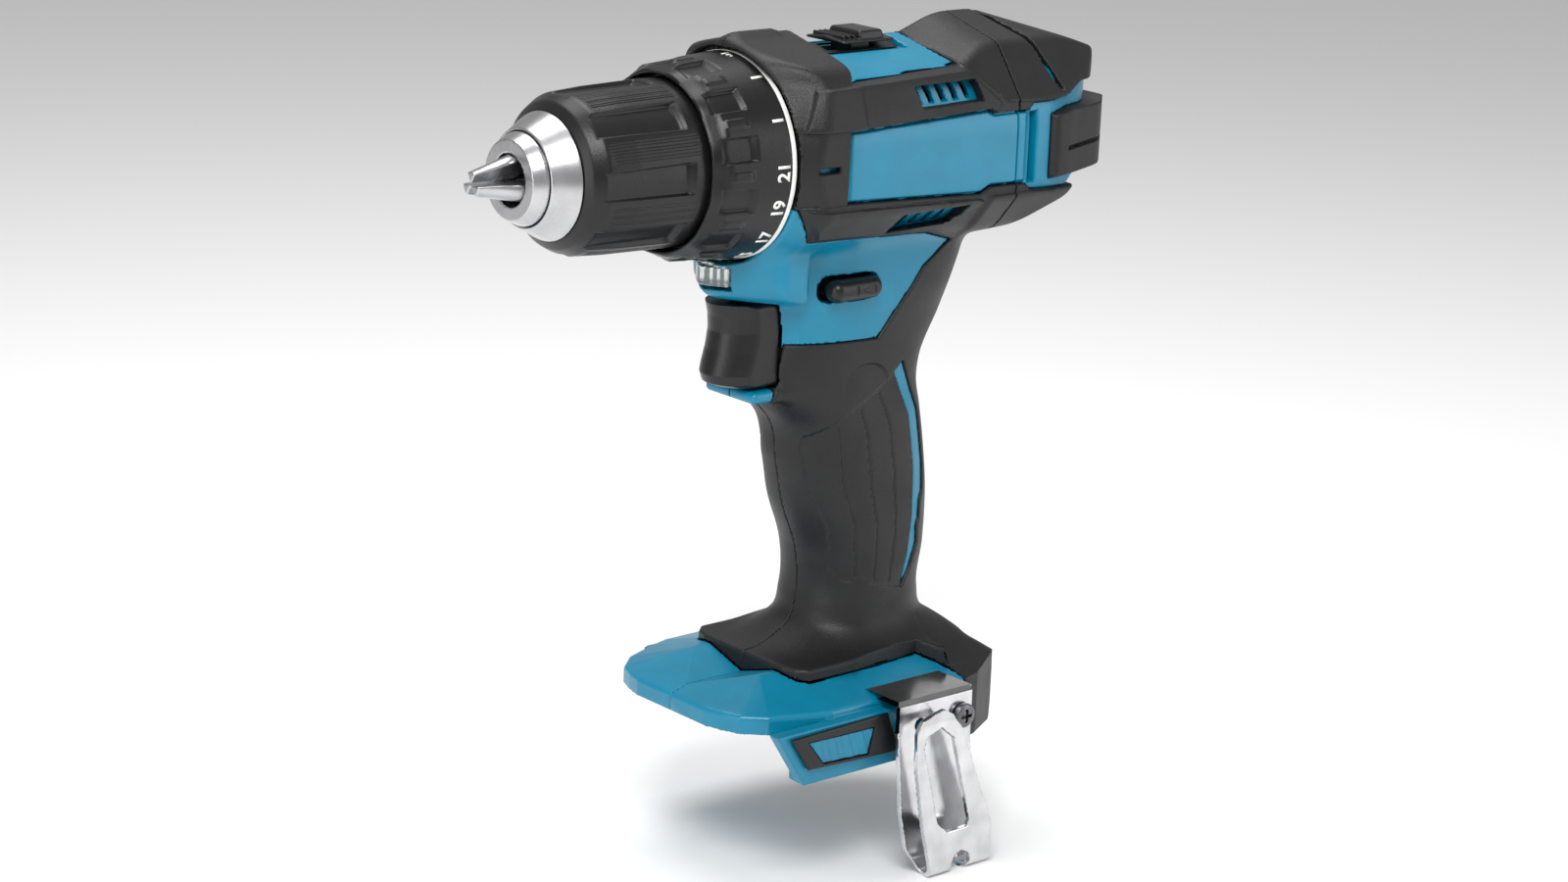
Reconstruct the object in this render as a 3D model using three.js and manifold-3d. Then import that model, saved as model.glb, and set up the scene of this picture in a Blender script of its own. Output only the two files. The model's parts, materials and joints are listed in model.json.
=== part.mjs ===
// Cordless drill driver without its battery pack, in millimetres.
// -X points towards the chuck, +X to the rear, -Y is the drill's left side, +Z is up.
// The origin is the centre of the battery seat, the flat underside of the foot.
import * as THREE from "three";
import { mergeVertices } from "three/addons/utils/BufferGeometryUtils.js";
import Module from "manifold-3d";

const wasm = await Module();
wasm.setup();

// ---- driving dimensions ----
// Heights below are measured from the spindle axis; the whole model is lifted by SPINDLE_HEIGHT.
const SPINDLE_HEIGHT = 151;
const GAP = 0.3; // between touching solids
const SPLIT = 0.15; // half the joint between the two housing halves
const RUBBER = 1.5; // how far the soft overmould stands out of the hard housing

const BARREL = { front: -41.8, rear: 32.8, halfWidth: 29.9, top: 26.7, bottom: -24.6 };
const COVER = { front: 33.2, rear: 79.5 };
const CAVITY_RADIUS = 23.3;
const WALL = 2.3;

const CHUCK = { nose: -113.1, front: -102.2, rear: -63.8, radius: 22, mouth: 6.75 };
const JAW = { tip: -124.6, tail: -91.8, radius: 3.2, tilt: THREE.MathUtils.degToRad(15.5),
  mouthRadius: 6.4 };
const SPINDLE = { radius: 6.05, bodyBore: 6.35, front: -84.5, rear: -32.1 };
const RING = { front: -67, rear: -42.3, frontRadius: 24.1, rearRadius: 27.3, bore: 22.9 };

const TEETH = { sun: 10, planet: 14, ring: 38 };
const GEAR_MODULE = 1;
const TOOTH_PLAY = 0.36;
const PLANET_ORBIT = GEAR_MODULE * (TEETH.sun + TEETH.planet) / 2;
const PIN_RADIUS = 1.6;
const STAGE_1 = { rear: -7, front: -14.4, plate: 2.8 };
const STAGE_2 = { rear: -20.4, front: -28.6, plate: 3 };
const CASE = { front: -40.9, rear: -4, outer: 22.9, inner: 21.7, noseFront: -59, noseOuter: 17,
  noseInner: 12.6 };
const SHAFT_RADIUS = 2.5;
const MOTOR = { front: 10, rear: 40, radius: 20.5, shaftFront: -14, shaftRear: 55.5 };

const FOOT = { seat: -151, skirtBottom: -163.4, skirtOuter: 39.5, skirtInner: 35.6, railInner: 32.4 };
const TERMINAL = { front: -24, rear: 30, halfWidth: 23, top: -146.2 };
const CLIP = { front: -13, rear: 17, thickness: 1.5, back: -43.6, tongue: -50.8, bottom: -195 };
const TRIGGER = { halfWidth: 9.2, top: -39.6, bottom: -62 };
const LEVER = { front: -22.4, rear: -4.6, top: -32.6, bottom: -38.8, halfLength: 20.5 };
const KNOB = { front: -10.8, rear: 7.4, halfWidth: 8, top: 30.4, travel: 8 };
const CLIP_SCREW = [9, -152]; // x and height
const SCREWS = [[-37.5, -33.6], [26, -36], [14, -78], [4, -128], [34, -146.5]]; // x and height

// ---- finishes ----
const finish = (color, roughness, metalness = 0) => ({ color, roughness, metalness });
const TEAL = finish(0x0088aa, 0.35);
const BLACK = finish(0x1c1d20, 0.5);
const RUBBER_BLACK = finish(0x2a2b2e, 0.75);
const STEEL = finish(0xb9babd, 0.32, 1);
const DARK_STEEL = finish(0x6c6d70, 0.4, 1);
const BRASS = finish(0xb9924a, 0.35, 1);
const COPPER = finish(0xa8623a, 0.4, 1);
const LENS = finish(0xe8f4f6, 0.1);
const MAGNET = finish(0x3b3c40, 0.6, 0.4);
const BOARD = finish(0x1f5a36, 0.6);

// ---- solids ----
function solid(geometry) {
  const bare = geometry.index ? geometry.toNonIndexed() : geometry.clone();
  bare.deleteAttribute("normal");
  bare.deleteAttribute("uv");
  const merged = mergeVertices(bare, 1e-4);
  const at = merged.attributes.position.array;
  const corners = [];
  let volume = 0;
  for (let i = 0; i < merged.index.count; i += 3) {
    const [a, b, c] = [0, 1, 2].map((k) => merged.index.array[i + k]);
    if (a === b || b === c || c === a) continue;
    corners.push([a, b, c]);
    const [p, q, r] = [a, b, c].map((n) => new THREE.Vector3(at[3 * n], at[3 * n + 1], at[3 * n + 2]));
    volume += p.dot(q.cross(r));
  }
  const outward = volume > 0 ? corners : corners.map(([a, b, c]) => [a, c, b]);
  const triVerts = new Uint32Array(outward.flat());
  return new wasm.Manifold(new wasm.Mesh({ numProp: 3, vertProperties: new Float32Array(at), triVerts }));
}

const join = (...parts) => parts.reduce((all, part) => all.add(part));
const cut = (from, ...parts) => parts.reduce((left, part) => left.subtract(part), from);
const common = (a, b) => a.intersect(b);

// Puts a shape drawn in its own XY plane and extruded along its Z into another plane.
const ALONG_X = new THREE.Matrix4().set(0, 0, 1, 0, 1, 0, 0, 0, 0, 1, 0, 0, 0, 0, 0, 1);
const ALONG_Y = new THREE.Matrix4().set(1, 0, 0, 0, 0, 0, -1, 0, 0, 1, 0, 0, 0, 0, 0, 1);
const ALONG_Z = new THREE.Matrix4();

function prism(outline, low, high, direction, holes = []) {
  const shape = new THREE.Shape(outline.map(([u, v]) => new THREE.Vector2(u, v)));
  for (const hole of holes) shape.holes.push(new THREE.Path(hole.map(([u, v]) => new THREE.Vector2(u, v))));
  const geometry = new THREE.ExtrudeGeometry(shape, { depth: high - low, bevelEnabled: false });
  const start = direction === ALONG_Y ? -high : low;
  geometry.translate(0, 0, start);
  return solid(geometry.applyMatrix4(direction));
}

function box(x, y, z) {
  const geometry = new THREE.BoxGeometry(x[1] - x[0], y[1] - y[0], z[1] - z[0]);
  return solid(geometry.translate((x[0] + x[1]) / 2, (y[0] + y[1]) / 2, (z[0] + z[1]) / 2));
}

// Revolves [x, radius] points about the spindle axis. A hollow profile is closed here.
function turned(profile, segments = 24) {
  const points = profile.map(([x, r]) => new THREE.Vector2(r, x));
  const onAxis = points[0].x === 0 && points.at(-1).x === 0;
  if (!onAxis) points.push(points[0].clone());
  return solid(new THREE.LatheGeometry(points, segments).rotateZ(-Math.PI / 2));
}

const rod = (x0, x1, radius, segments = 18) => turned([[x0, 0], [x0, radius], [x1, radius], [x1, 0]],
  segments);
const tube = (x0, x1, outer, inner, segments = 24) =>
  turned([[x0, inner], [x0, outer], [x1, outer], [x1, inner]], segments);

function crossRod(x, z, y0, y1, radius, segments = 10) {
  const geometry = new THREE.CylinderGeometry(radius, radius, y1 - y0, segments);
  return solid(geometry.translate(x, (y0 + y1) / 2, z));
}

// Skins a closed body over rings of points; each ring has the same number of points.
function loft(rings) {
  const count = rings[0].length;
  const positions = rings.flat(2);
  const index = [];
  for (let s = 0; s + 1 < rings.length; s += 1) {
    for (let i = 0; i < count; i += 1) {
      const [a, b] = [s * count + i, s * count + (i + 1) % count];
      index.push(a, b, b + count, a, b + count, a + count);
    }
  }
  const last = (rings.length - 1) * count;
  for (let i = 1; i + 1 < count; i += 1) index.push(0, i + 1, i, last, last + i, last + i + 1);
  const geometry = new THREE.BufferGeometry();
  geometry.setAttribute("position", new THREE.Float32BufferAttribute(positions, 3));
  geometry.setIndex(index);
  return solid(geometry);
}

const turnAboutSpindle = (part, degrees) => part.rotate([degrees, 0, 0]);
const around = (count, make) => Array.from({ length: count }, (_, i) => make(i, 360 * i / count));

// ---- housing shapes, each grown outwards by a given amount ----
// The barrel's section is a box with broad upper facets and narrower lower ones, as [y, z].
function barrelSection(grow, width = 1, top = BARREL.top, bottom = BARREL.bottom) {
  const half = BARREL.halfWidth * width + grow;
  const crown = top + grow;
  const keel = bottom - grow;
  const side = [[0.56 * half, crown], [0.9 * half, crown - 0.27 * top], [half, 0.36 * top],
    [half, 0.5 * bottom], [0.74 * half, keel - 0.15 * bottom], [0.46 * half, keel]];
  return [...side, ...side.map(([y, z]) => [-y, z]).reverse()];
}

const barrel = (grow) => prism(barrelSection(grow), BARREL.front - 0.01, BARREL.rear, ALONG_X);

// Heights of the barrel's rear end at each station: [x, width, top, bottom].
const REAR_STATIONS = [[COVER.front, 1, 26.7, -24.6], [44, 1, 26.7, -23], [56, 0.98, 26, -17],
  [66, 0.93, 24.5, -12.5], [74, 0.82, 22, -11], [COVER.rear, 0.66, 18, -9]];

function rearEnd(grow) {
  const rings = REAR_STATIONS.map(([x, width, top, bottom], i) => {
    const reach = i === 0 ? 0 : grow * (i === REAR_STATIONS.length - 1 ? 1 : 0.4);
    return barrelSection(grow, width, top, bottom).map(([y, z]) => [x + reach, y, z]);
  });
  return loft(rings);
}

function superellipse(x0, x1, halfWidth, z, power, count = 20) {
  const centre = (x0 + x1) / 2;
  const halfDepth = (x1 - x0) / 2;
  return Array.from({ length: count }, (_, i) => {
    const turn = 2 * Math.PI * i / count;
    const [c, s] = [Math.cos(turn), Math.sin(turn)];
    return [centre + halfDepth * Math.sign(c) * Math.abs(c) ** (2 / power),
      halfWidth * Math.sign(s) * Math.abs(s) ** (2 / power), z];
  });
}

// Neck and handle from the barrel down: [height, front x, rear x, half width, squareness].
const HANDLE_STATIONS = [[-14, -51, 34, 19, 2.5], [-27, -52.4, 34, 18.6, 2.5], [-35, -51.6, 32, 18, 2.5],
  [-38.8, -44.5, 31, 17.2, 2.6], [-39.4, -33.6, 30.8, 17, 2.6], [-47, -33, 28, 15.6, 2.5],
  [-60, -32.6, 21.6, 15.4, 2.4], [-66.4, -31.4, 21.2, 15.4, 2.4], [-74, -23.8, 22.6, 15.4, 2.3],
  [-86, -21, 24.8, 15.4, 2.3], [-98, -18.2, 26.2, 15.4, 2.3], [-112.6, -12.6, 25.6, 15.4, 2.3],
  [-126, -12, 23.8, 15.6, 2.3], [-133, -14.5, 25.5, 16.5, 2.4], [-138, -21, 32, 20, 2.6],
  [-144, -25, 40, 24, 3]];

function handle(grow) {
  return loft(HANDLE_STATIONS.map(([z, front, rear, half, power]) =>
    superellipse(front - grow, rear + grow, half + grow, z, power)));
}

// Foot outline seen from above, for y >= 0, as [x, y].
const FOOT_SIDE = [[-55.5, 12], [-54.6, 21.5], [-50, 29], [-32, 36.2], [24, 36.4], [38, 33], [43.6, 22]];
const footRing = (grow, z, scale = 1, slide = 0) => [...FOOT_SIDE,
  ...FOOT_SIDE.map(([x, y]) => [x, -y]).reverse()]
  .map(([x, y]) => [x * scale + slide + Math.sign(x) * grow, y * scale + Math.sign(y) * grow, z]);

function foot(grow) {
  const top = grow > 1 ? -138.6 : -141;
  return loft([footRing(grow, FOOT.seat), footRing(grow, -146.4), footRing(grow, top, 0.62, 4)]);
}

function skirt(side) {
  const [top, bottom] = side < 0 ? [-52, -42] : [-38, -32];
  const outline = [[top, -148], [bottom, FOOT.skirtBottom], [26, FOOT.skirtBottom], [40, -158], [42, -148]];
  const wall = prism(outline, FOOT.skirtInner, FOOT.skirtOuter, ALONG_Y);
  const rail = prism([[bottom, -160.2], [bottom, FOOT.skirtBottom], [26, FOOT.skirtBottom], [26, -160.2]],
    FOOT.railInner, FOOT.skirtInner + 0.5, ALONG_Y);
  const both = join(wall, rail);
  return side < 0 ? both.mirror([0, 1, 0]) : both;
}

const bayWall = (grow) => box([38.6, 43.6 + grow], [-28 - grow, 28 + grow], [-162 - grow, -148]);

// ---- housing halves ----
function housingCore() {
  const body = join(barrel(0), handle(0), foot(0), skirt(1), skirt(-1), bayWall(0));
  const clipBoss = box([CLIP.front + 7, CLIP.rear - 3], [CLIP.back + GAP, -38], [-160, -146.2]);
  const cavity = rod(BARREL.front - 20, BARREL.rear + 30, CAVITY_RADIUS, 28);
  const throat = join(rod(-90, BARREL.front, RING.rearRadius + 0.7, 28),
    box([BARREL.rear, 60], [-40, 40], [-24.8, 40]));
  const inside = common(handle(-WALL), box([-60, 60], [-40, 40], [-137.5, -20]));
  const seat = box([TERMINAL.front - GAP, TERMINAL.rear + GAP],
    [-TERMINAL.halfWidth - GAP, TERMINAL.halfWidth + GAP], [FOOT.seat - 1, TERMINAL.top + GAP]);
  const wireWay = box([-8, 18], [-9, 9], [-149, -130]);
  const triggerWay = box([-60, -20], [-TRIGGER.halfWidth - 0.5, TRIGGER.halfWidth + 0.5],
    [TRIGGER.bottom - 0.6, TRIGGER.top + 0.5]);
  const leverWay = box([LEVER.front - 0.4, LEVER.rear + 0.4], [-30, 30],
    [LEVER.bottom - 0.4, LEVER.top + 0.4]);
  const knobWay = box([KNOB.front + 5 - KNOB.travel, KNOB.rear - 5], [-4.4, 4.4], [20, 32]);
  const ledWay = box([-70, -41.4], [-7.2, 7.2], [-34.4, -28.4]);
  const bosses = SCREWS.map(([x, z]) => common(crossRod(x, z, -40, 40, 3.8), handle(-0.5)));
  const hollow = cut(join(body, clipBoss), cavity, throat, cut(inside, ...bosses), seat, wireWay);
  return cut(hollow, triggerWay, leverWay, knobWay, ledWay, clipSeat(),
    crossRod(...CLIP_SCREW, -60, -37, 1.8), ...ventSlots(), ...screwHoles());
}

const clipSeat = () => box([CLIP.front - 0.4, CLIP.rear + 0.4], [-60, CLIP.back + 12.5], [-146.1, -138]);

// Slanted cooling slots through both sides, above and below the side window.
function ventSlots() {
  const slot = (x, z, height) => prism([[x, z], [x + 2.6, z], [x + 4.2, z + height], [x + 1.6, z + height]],
    -40, 40, ALONG_Y);
  return around(5, (i) => [slot(-1 + 4.4 * i, 13.5, 5), slot(-4 + 4.4 * i, -19.5, 3.4)]).flat();
}

const screwHead = (x, z) => (z < -140 ? 26 : 12.5);
const screwHoles = () => SCREWS.map(([x, z]) =>
  join(crossRod(x, z, -9, 30, 1.9), crossRod(x, z, screwHead(x, z) - 0.3, 45, 3.6)));

function housingScrew([x, z]) {
  const head = screwHead(x, z);
  const body = join(crossRod(x, z, head - 20, head + 0.2, 1.6, 8),
    crossRod(x, z, head, head + 2.6, 3.2, 12));
  return cut(body, box([x - 1, x + 1], [head + 1.2, head + 4], [z - 1, z + 1]));
}

// Soft overmould: armour bars round the barrel, the handle and the flange on the foot.
function overmould() {
  const heel = prism([[40, 31], [44.6, 30], [47.6, 18], [47.6, -18], [44.6, -30], [40, -31]], -162, -146,
    ALONG_Z);
  const skin = cut(join(barrel(RUBBER), handle(RUBBER), foot(RUBBER), heel), barrel(GAP), handle(GAP),
    foot(GAP), bayWall(GAP), ...[-1, 1].map((side) => box([-60, 42.3], side < 0 ? [-39.8, -30] : [30, 39.8],
      [-164, -147.6])));
  const collar = [[-41.8, 40], [-20, 40], [-20, 27], [-24, 10.5], [-26.5, 9.5], [-26.5, -10], [-34, -14],
    [-41.8, -12]];
  const upperBar = [[-30, 9.8], [22, 10.8], [32.8, 10.8], [32.8, 40], [17, 40], [17, 22], [-24, 21]];
  const lowerBar = [[-41.8, -9], [-26.5, -9], [18, -11], [32.8, -12], [36, -30], [22, -60], [14, -44],
    [17, -30], [8, -22.4],
    [-36, -20.5]];
  const grip = [[36, -30], [40, -60], [40, -136], [60, -136], [60, -166], [40, -166], [30, -150],
    [18, -146], [-28.5, -142.6],
    [-31, -136], [-40, -90], [-30.5, -68.2], [-10, -62], [6, -56], [14, -46], [22, -30]];
  const region = join(...[collar, upperBar, lowerBar, grip]
    .map((outline) => prism(outline, -60, 60, ALONG_Y)));
  const panel = box([-22, 17], [-17, 17], [20, 40]);
  const openings = [rod(-90, BARREL.front, 30, 28), ...screwHoles(), ...ventSlots(),
    clipSeat(), box([CLIP.front - 0.4, CLIP.rear + 0.4], [-60, -34], [-170, -146])];
  const rearGap = box([BARREL.rear - 0.01, 60], [-60, 60], [-25.4, 60]);
  return cut(common(skin, region), panel, rearGap, ...openings);
}

const leftHalf = () => box([-200, 200], [-100, -SPLIT], [-260, 100]);
const rightHalf = () => box([-200, 200], [SPLIT, 100], [-260, 100]);

const largest = (part) => part.decompose().sort((a, b) => b.volume() - a.volume())[0];

// ---- rear cover ----
function rearCover() {
  const shell = cut(rearEnd(0), common(rearEnd(-WALL), box([0, COVER.rear - 3], [-60, 60], [-60, 60])),
    box([0, COVER.front + 8], [-26, 26], [-21.6, 23.6]), rod(20, 50, CAVITY_RADIUS, 28));
  const boss = tube(50.8, 58, 9.6, 7.4);
  const spider = cut(join(box([57, 60], [-28, 28], [-2, 2]), box([57, 60], [-2, 2], [-16, 24])),
    rod(50, 57.5, 9, 24));
  const held = common(spider, rearEnd(-1));
  const ports = [-6, 0, 6].map((z) => box([70, 90], [-12, 12], [z - 1.2, z + 1.2]));
  return cut(join(shell, held, boss), ...ports);
}

function rearBumper() {
  const skin = cut(rearEnd(RUBBER), rearEnd(GAP));
  const cap = [[COVER.front, 12.4], [46, 12.4], [58, 14], [90, 14], [90, 40], [COVER.front, 40]];
  const band = [[47, 9], [90, 8], [90, -8.6], [47, -10.6]];
  const spine = box([60, 90], [-12, 12], [-8, 20]);
  const region = join(...[cap, band].map((outline) => prism(outline, -60, 60, ALONG_Y)), spine);
  const ports = [-6, 0, 6].map((z) => box([70, 90], [-12.4, 12.4], [z - 1.5, z + 1.5]));
  return cut(common(skin, region), ...ports);
}

// ---- gears: trapezoid teeth on the pitch circle, drawn as [y, z] ----
function gearOutline(teeth, phase, inward = false) {
  const pitch = GEAR_MODULE * teeth / 2;
  const [tip, root] = inward ? [pitch - 0.95 * GEAR_MODULE, pitch + 1.25 * GEAR_MODULE]
    : [pitch + 0.95 * GEAR_MODULE, pitch - 1.25 * GEAR_MODULE];
  const thick = Math.PI * GEAR_MODULE / 2 - TOOTH_PLAY;
  const half = (radius) => {
    const slope = Math.tan(THREE.MathUtils.degToRad(21)) * (inward ? pitch - radius : radius - pitch);
    return (thick / 2 - slope) / radius;
  };
  const at = (radius, turn) => [radius * Math.cos(turn), radius * Math.sin(turn)];
  return Array.from({ length: teeth }, (_, i) => {
    const centre = phase + 2 * Math.PI * i / teeth;
    return [at(root, centre - half(root)), at(tip, centre - half(tip)), at(tip, centre + half(tip)),
      at(root, centre + half(root))];
  }).flat();
}

const circle = (radius, count) => Array.from({ length: count }, (_, i) =>
  [radius * Math.cos(2 * Math.PI * i / count), radius * Math.sin(2 * Math.PI * i / count)]);

const gear = (teeth, x0, x1, bore, phase = 0) =>
  prism(gearOutline(teeth, phase), x0, x1, ALONG_X, [circle(bore, 10).reverse()]);
const ringGear = (x0, x1) =>
  prism(circle(CASE.inner - GAP, 36), x0, x1, ALONG_X, [gearOutline(TEETH.ring, 0, true).reverse()]);

// A planet sits at `place` on its orbit, with a gap towards the sun tooth nearest to it.
function planet(place, x0, x1) {
  const pitchTurn = 2 * Math.PI / TEETH.sun;
  const sunLead = Math.round(place / pitchTurn) * pitchTurn - place;
  const phase = place + Math.PI + Math.PI / TEETH.planet - sunLead * TEETH.sun / TEETH.planet;
  return gear(TEETH.planet, x0, x1, PIN_RADIUS + 0.3, phase)
    .translate([0, PLANET_ORBIT * Math.cos(place), PLANET_ORBIT * Math.sin(place)]);
}

function carrier(stage) {
  const pins = around(3, (_, degrees) =>
    turnAboutSpindle(rod(stage.front - 0.8, stage.rear + 0.4, PIN_RADIUS, 12)
      .translate([0, PLANET_ORBIT, 0]), degrees));
  return join(rod(stage.front - stage.plate - 0.5, stage.front - 0.5, 16.5, 24), ...pins);
}

// ---- chuck ----
const jawLine = (x) => JAW.mouthRadius + (x - CHUCK.nose) * Math.tan(JAW.tilt);
const jawCentre = (x) => jawLine(x) - JAW.radius / Math.cos(JAW.tilt);

// A tilted rod in the plane of +Z, from x0 to x1 along a jaw's own line.
function jawRod(x0, x1, radius) {
  const length = (x1 - x0) / Math.cos(JAW.tilt);
  const geometry = new THREE.CylinderGeometry(radius, radius, length, 14);
  geometry.rotateZ(-Math.PI / 2).rotateY(-JAW.tilt);
  const middle = (x0 + x1) / 2;
  return solid(geometry.translate(middle, 0, jawCentre(middle)));
}

function jaw(degrees) {
  const reach = 40;
  const apex = 0.2;
  const wedge = prism([[0, apex], [reach * Math.sin(Math.PI / 3), apex + reach / 2], [0, reach],
    [-reach * Math.sin(Math.PI / 3), apex + reach / 2]], JAW.tip, 0, ALONG_X);
  return turnAboutSpindle(common(jawRod(JAW.tip - 4, JAW.tail, JAW.radius), wedge), degrees);
}

function chuckBody() {
  const blank = turned([[CHUCK.nose, 0], [CHUCK.nose, 10.2], [-109.8, 11.9], [-98.2, 11.9], [-97.6, 15.4],
    [-90.7, 15.4], [-90.7, 12.6], [-82.3, 12.6], [-82.3, 15.4], [-66.4, 15.4], [-66.4, 19], [-62.6, 19],
    [-62.6, 0]], 28);
  const slots = around(3, (_, degrees) => turnAboutSpindle(jawRod(-121, -67.8, JAW.radius + 0.25),
    degrees));
  return cut(blank, rod(CHUCK.nose - 1, -90, CHUCK.mouth), rod(-90.1, -60, SPINDLE.bodyBore), ...slots);
}

function chuckSleeve() {
  const blank = turned([[-102, 15.9], [-102, 16.6], [-100.5, 18.8], [-97, 20.8], [-88, 21.4],
    [CHUCK.rear, CHUCK.radius],
    [CHUCK.rear, 19.6], [-96, 18.7], [-98, 15.9]], 36);
  const flutes = around(8, (_, degrees) => turnAboutSpindle(box([-101, -72], [-4.2, 4.2], [20.3, 26]),
    degrees));
  return cut(blank, ...flutes);
}

function torqueRing() {
  const blank = turned([[RING.front, RING.bore], [RING.front, RING.frontRadius], [-63, 25.8],
    [RING.rear, RING.rearRadius], [RING.rear, 24], [-59.2, 24], [-59.2, 17.7], [-61, 17.7],
      [-61, RING.bore]], 36);
  const pockets = around(12, (_, degrees) => turnAboutSpindle(box([-61.5, -50.5], [-3.4, 3.4],
    [25.2, 30]), degrees));
  return cut(blank, ...pockets);
}

class Helix extends THREE.Curve {
  constructor(x0, x1, radius, turns) {
    super();
    Object.assign(this, { x0, x1, radius, turns });
  }

  getPoint(t) {
    const turn = 2 * Math.PI * this.turns * t;
    return new THREE.Vector3(this.x0 + (this.x1 - this.x0) * t, this.radius * Math.cos(turn),
      this.radius * Math.sin(turn));
  }
}

function clutchSpring() {
  const wire = new THREE.Shape(circle(1.05, 6).map(([u, v]) => new THREE.Vector2(u, v)));
  const path = new Helix(-52.4, -45.6, 19.8, 2.25);
  return solid(new THREE.ExtrudeGeometry(wire, { steps: 36, extrudePath: path, bevelEnabled: false }));
}

// ---- gear case, motor ----
function gearCaseFront() {
  return turned([[CASE.noseFront, CASE.noseInner], [CASE.noseFront, CASE.noseOuter],
    [-44.2, CASE.noseOuter],
    [-44.2, CASE.outer], [-41.2, CASE.outer], [-41.2, 9], [-45, 9], [-45, CASE.noseInner]]);
}

function gearCaseRear() {
  return turned([[CASE.front, CASE.inner], [CASE.front, CASE.outer], [CASE.rear, CASE.outer],
    [CASE.rear, 6.6],
    [CASE.rear - 2, 6.6], [CASE.rear - 2, CASE.inner]]);
}

function fan() {
  const hub = rod(0.4, 7.6, 5);
  const plate = rod(5.8, 7.6, 19.5);
  const blades = around(9, (_, degrees) =>
    turnAboutSpindle(box([1, 6], [4.4, 19], [-0.6, 0.6]).rotate([20, 0, 0]), degrees));
  return cut(join(hub, plate, ...blades), rod(-5, 20, SHAFT_RADIUS + GAP, 12));
}

function armature() {
  const slots = around(12, (_, degrees) =>
    turnAboutSpindle(box([0, 60], [-1.2, 1.2], [8.6, 20]), degrees));
  return cut(tube(15, 37, 15.4, SHAFT_RADIUS + GAP, 24), ...slots);
}

function commutator() {
  const splits = around(12, (_, degrees) => turnAboutSpindle(box([39, 46], [-0.25, 0.25], [6, 9]),
    degrees));
  return cut(tube(38.4, 47.6, 7, SHAFT_RADIUS + GAP, 24), ...splits);
}

function motorCan() {
  return turned([[MOTOR.front, 7.4], [MOTOR.front, MOTOR.radius], [MOTOR.rear, MOTOR.radius],
    [MOTOR.rear, MOTOR.radius - 1.5], [MOTOR.front + 1.6, MOTOR.radius - 1.5], [MOTOR.front + 1.6, 7.4]],
      28);
}

function brushHolder() {
  return cut(tube(40.4, 48.6, MOTOR.radius, 8.6, 28), box([41.4, 47.6], [-3.3, 3.3], [-18, 18]));
}
const brush = (side) => box([41.7, 47.3], [-3, 3], side > 0 ? [7.4, 16] : [-16, -7.4]);

// ---- controls ----
function trigger() {
  const face = new THREE.CatmullRomCurve3([[-46.4, TRIGGER.top], [-45.4, -44.6], [-45.6, -50], [-47, -55.4],
    [-48.8, -59.4], [-46.4, TRIGGER.bottom]].map(([x, z]) => new THREE.Vector3(x, z, 0)));
  const outline = [...face.getPoints(12).map((p) => [p.x, p.y]), [-29.8, TRIGGER.bottom],
    [-29.8, TRIGGER.top]];
  const lever = prism(outline, -TRIGGER.halfWidth, TRIGGER.halfWidth, ALONG_Y);
  const corners = [-1, 1].map((side) => prism([[-60, 5 * side], [-44, 12 * side], [-60, 12 * side]], -70,
    -30, ALONG_Z));
  return join(cut(lever, ...corners), rod(-30, -14, 2.9, 16).translate([0, 0, -51]));
}

const switchBody = () => cut(box([-22.6, 8], [-10.2, 10.2], [-61, -42]),
  rod(-24, -6, 3.3, 16).translate([0, 0, -51]));

function directionLever() {
  const bar = box([-19, -8], [-LEVER.halfLength, LEVER.halfLength], [LEVER.bottom, LEVER.top]);
  const pads = [-1, 1].map((side) => {
    const reach = [side * (LEVER.halfLength - 5), side * LEVER.halfLength].sort((a, b) => a - b);
    return prism([[LEVER.front, -35.6], [-20, LEVER.top], [-7.6, LEVER.top], [LEVER.rear, -34.2],
      [LEVER.rear, -37],
      [-7.6, LEVER.bottom], [-20, LEVER.bottom]], reach[0], reach[1], ALONG_Y);
  });
  return join(bar, ...pads);
}

function speedKnob() {
  const ridge = (x) => box([x, x + 1.6], [-6, 6], [KNOB.top - 1, KNOB.top]);
  const ridges = around(4, (i) => ridge(KNOB.front + 3.2 + 3.4 * i));
  const pad = prism([[KNOB.front, 27.1], [KNOB.front + 1.6, KNOB.top - 0.8],
    [KNOB.rear - 1.6, KNOB.top - 0.8],
    [KNOB.rear, 27.1]], -KNOB.halfWidth, KNOB.halfWidth, ALONG_Y);
  return join(pad, box([KNOB.front + 5.8, KNOB.rear - 5.6], [-4, 4], [23.6, 27.5]), ...ridges);
}

// ---- foot fittings ----
function terminalHolder() {
  const plate = box([TERMINAL.front, TERMINAL.rear], [-TERMINAL.halfWidth, TERMINAL.halfWidth],
    [FOOT.seat, TERMINAL.top]);
  const slots = [-1, 1].map((side) => box([-3, 13], [side * 12 - 0.8, side * 12 + 0.8], [-160, -140]));
  return cut(plate, ...slots);
}
const terminalBlade = (side) => box([-2.6, 12.6], [side * 12 - 0.45, side * 12 + 0.45], [-158.6, -146.6]);

function footBadge(side) {
  const [top, bottom] = side < 0 ? [-48.2, -41.8] : [-34.5, -30];
  const outline = [[top, -149], [bottom, -158.7], [-9, -160], [CLIP.front - 1, -148.2]];
  const plate = prism(outline, FOOT.skirtOuter + GAP, FOOT.skirtOuter + 1.6, ALONG_Y);
  return side < 0 ? plate.mirror([0, 1, 0]) : plate;
}

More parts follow.
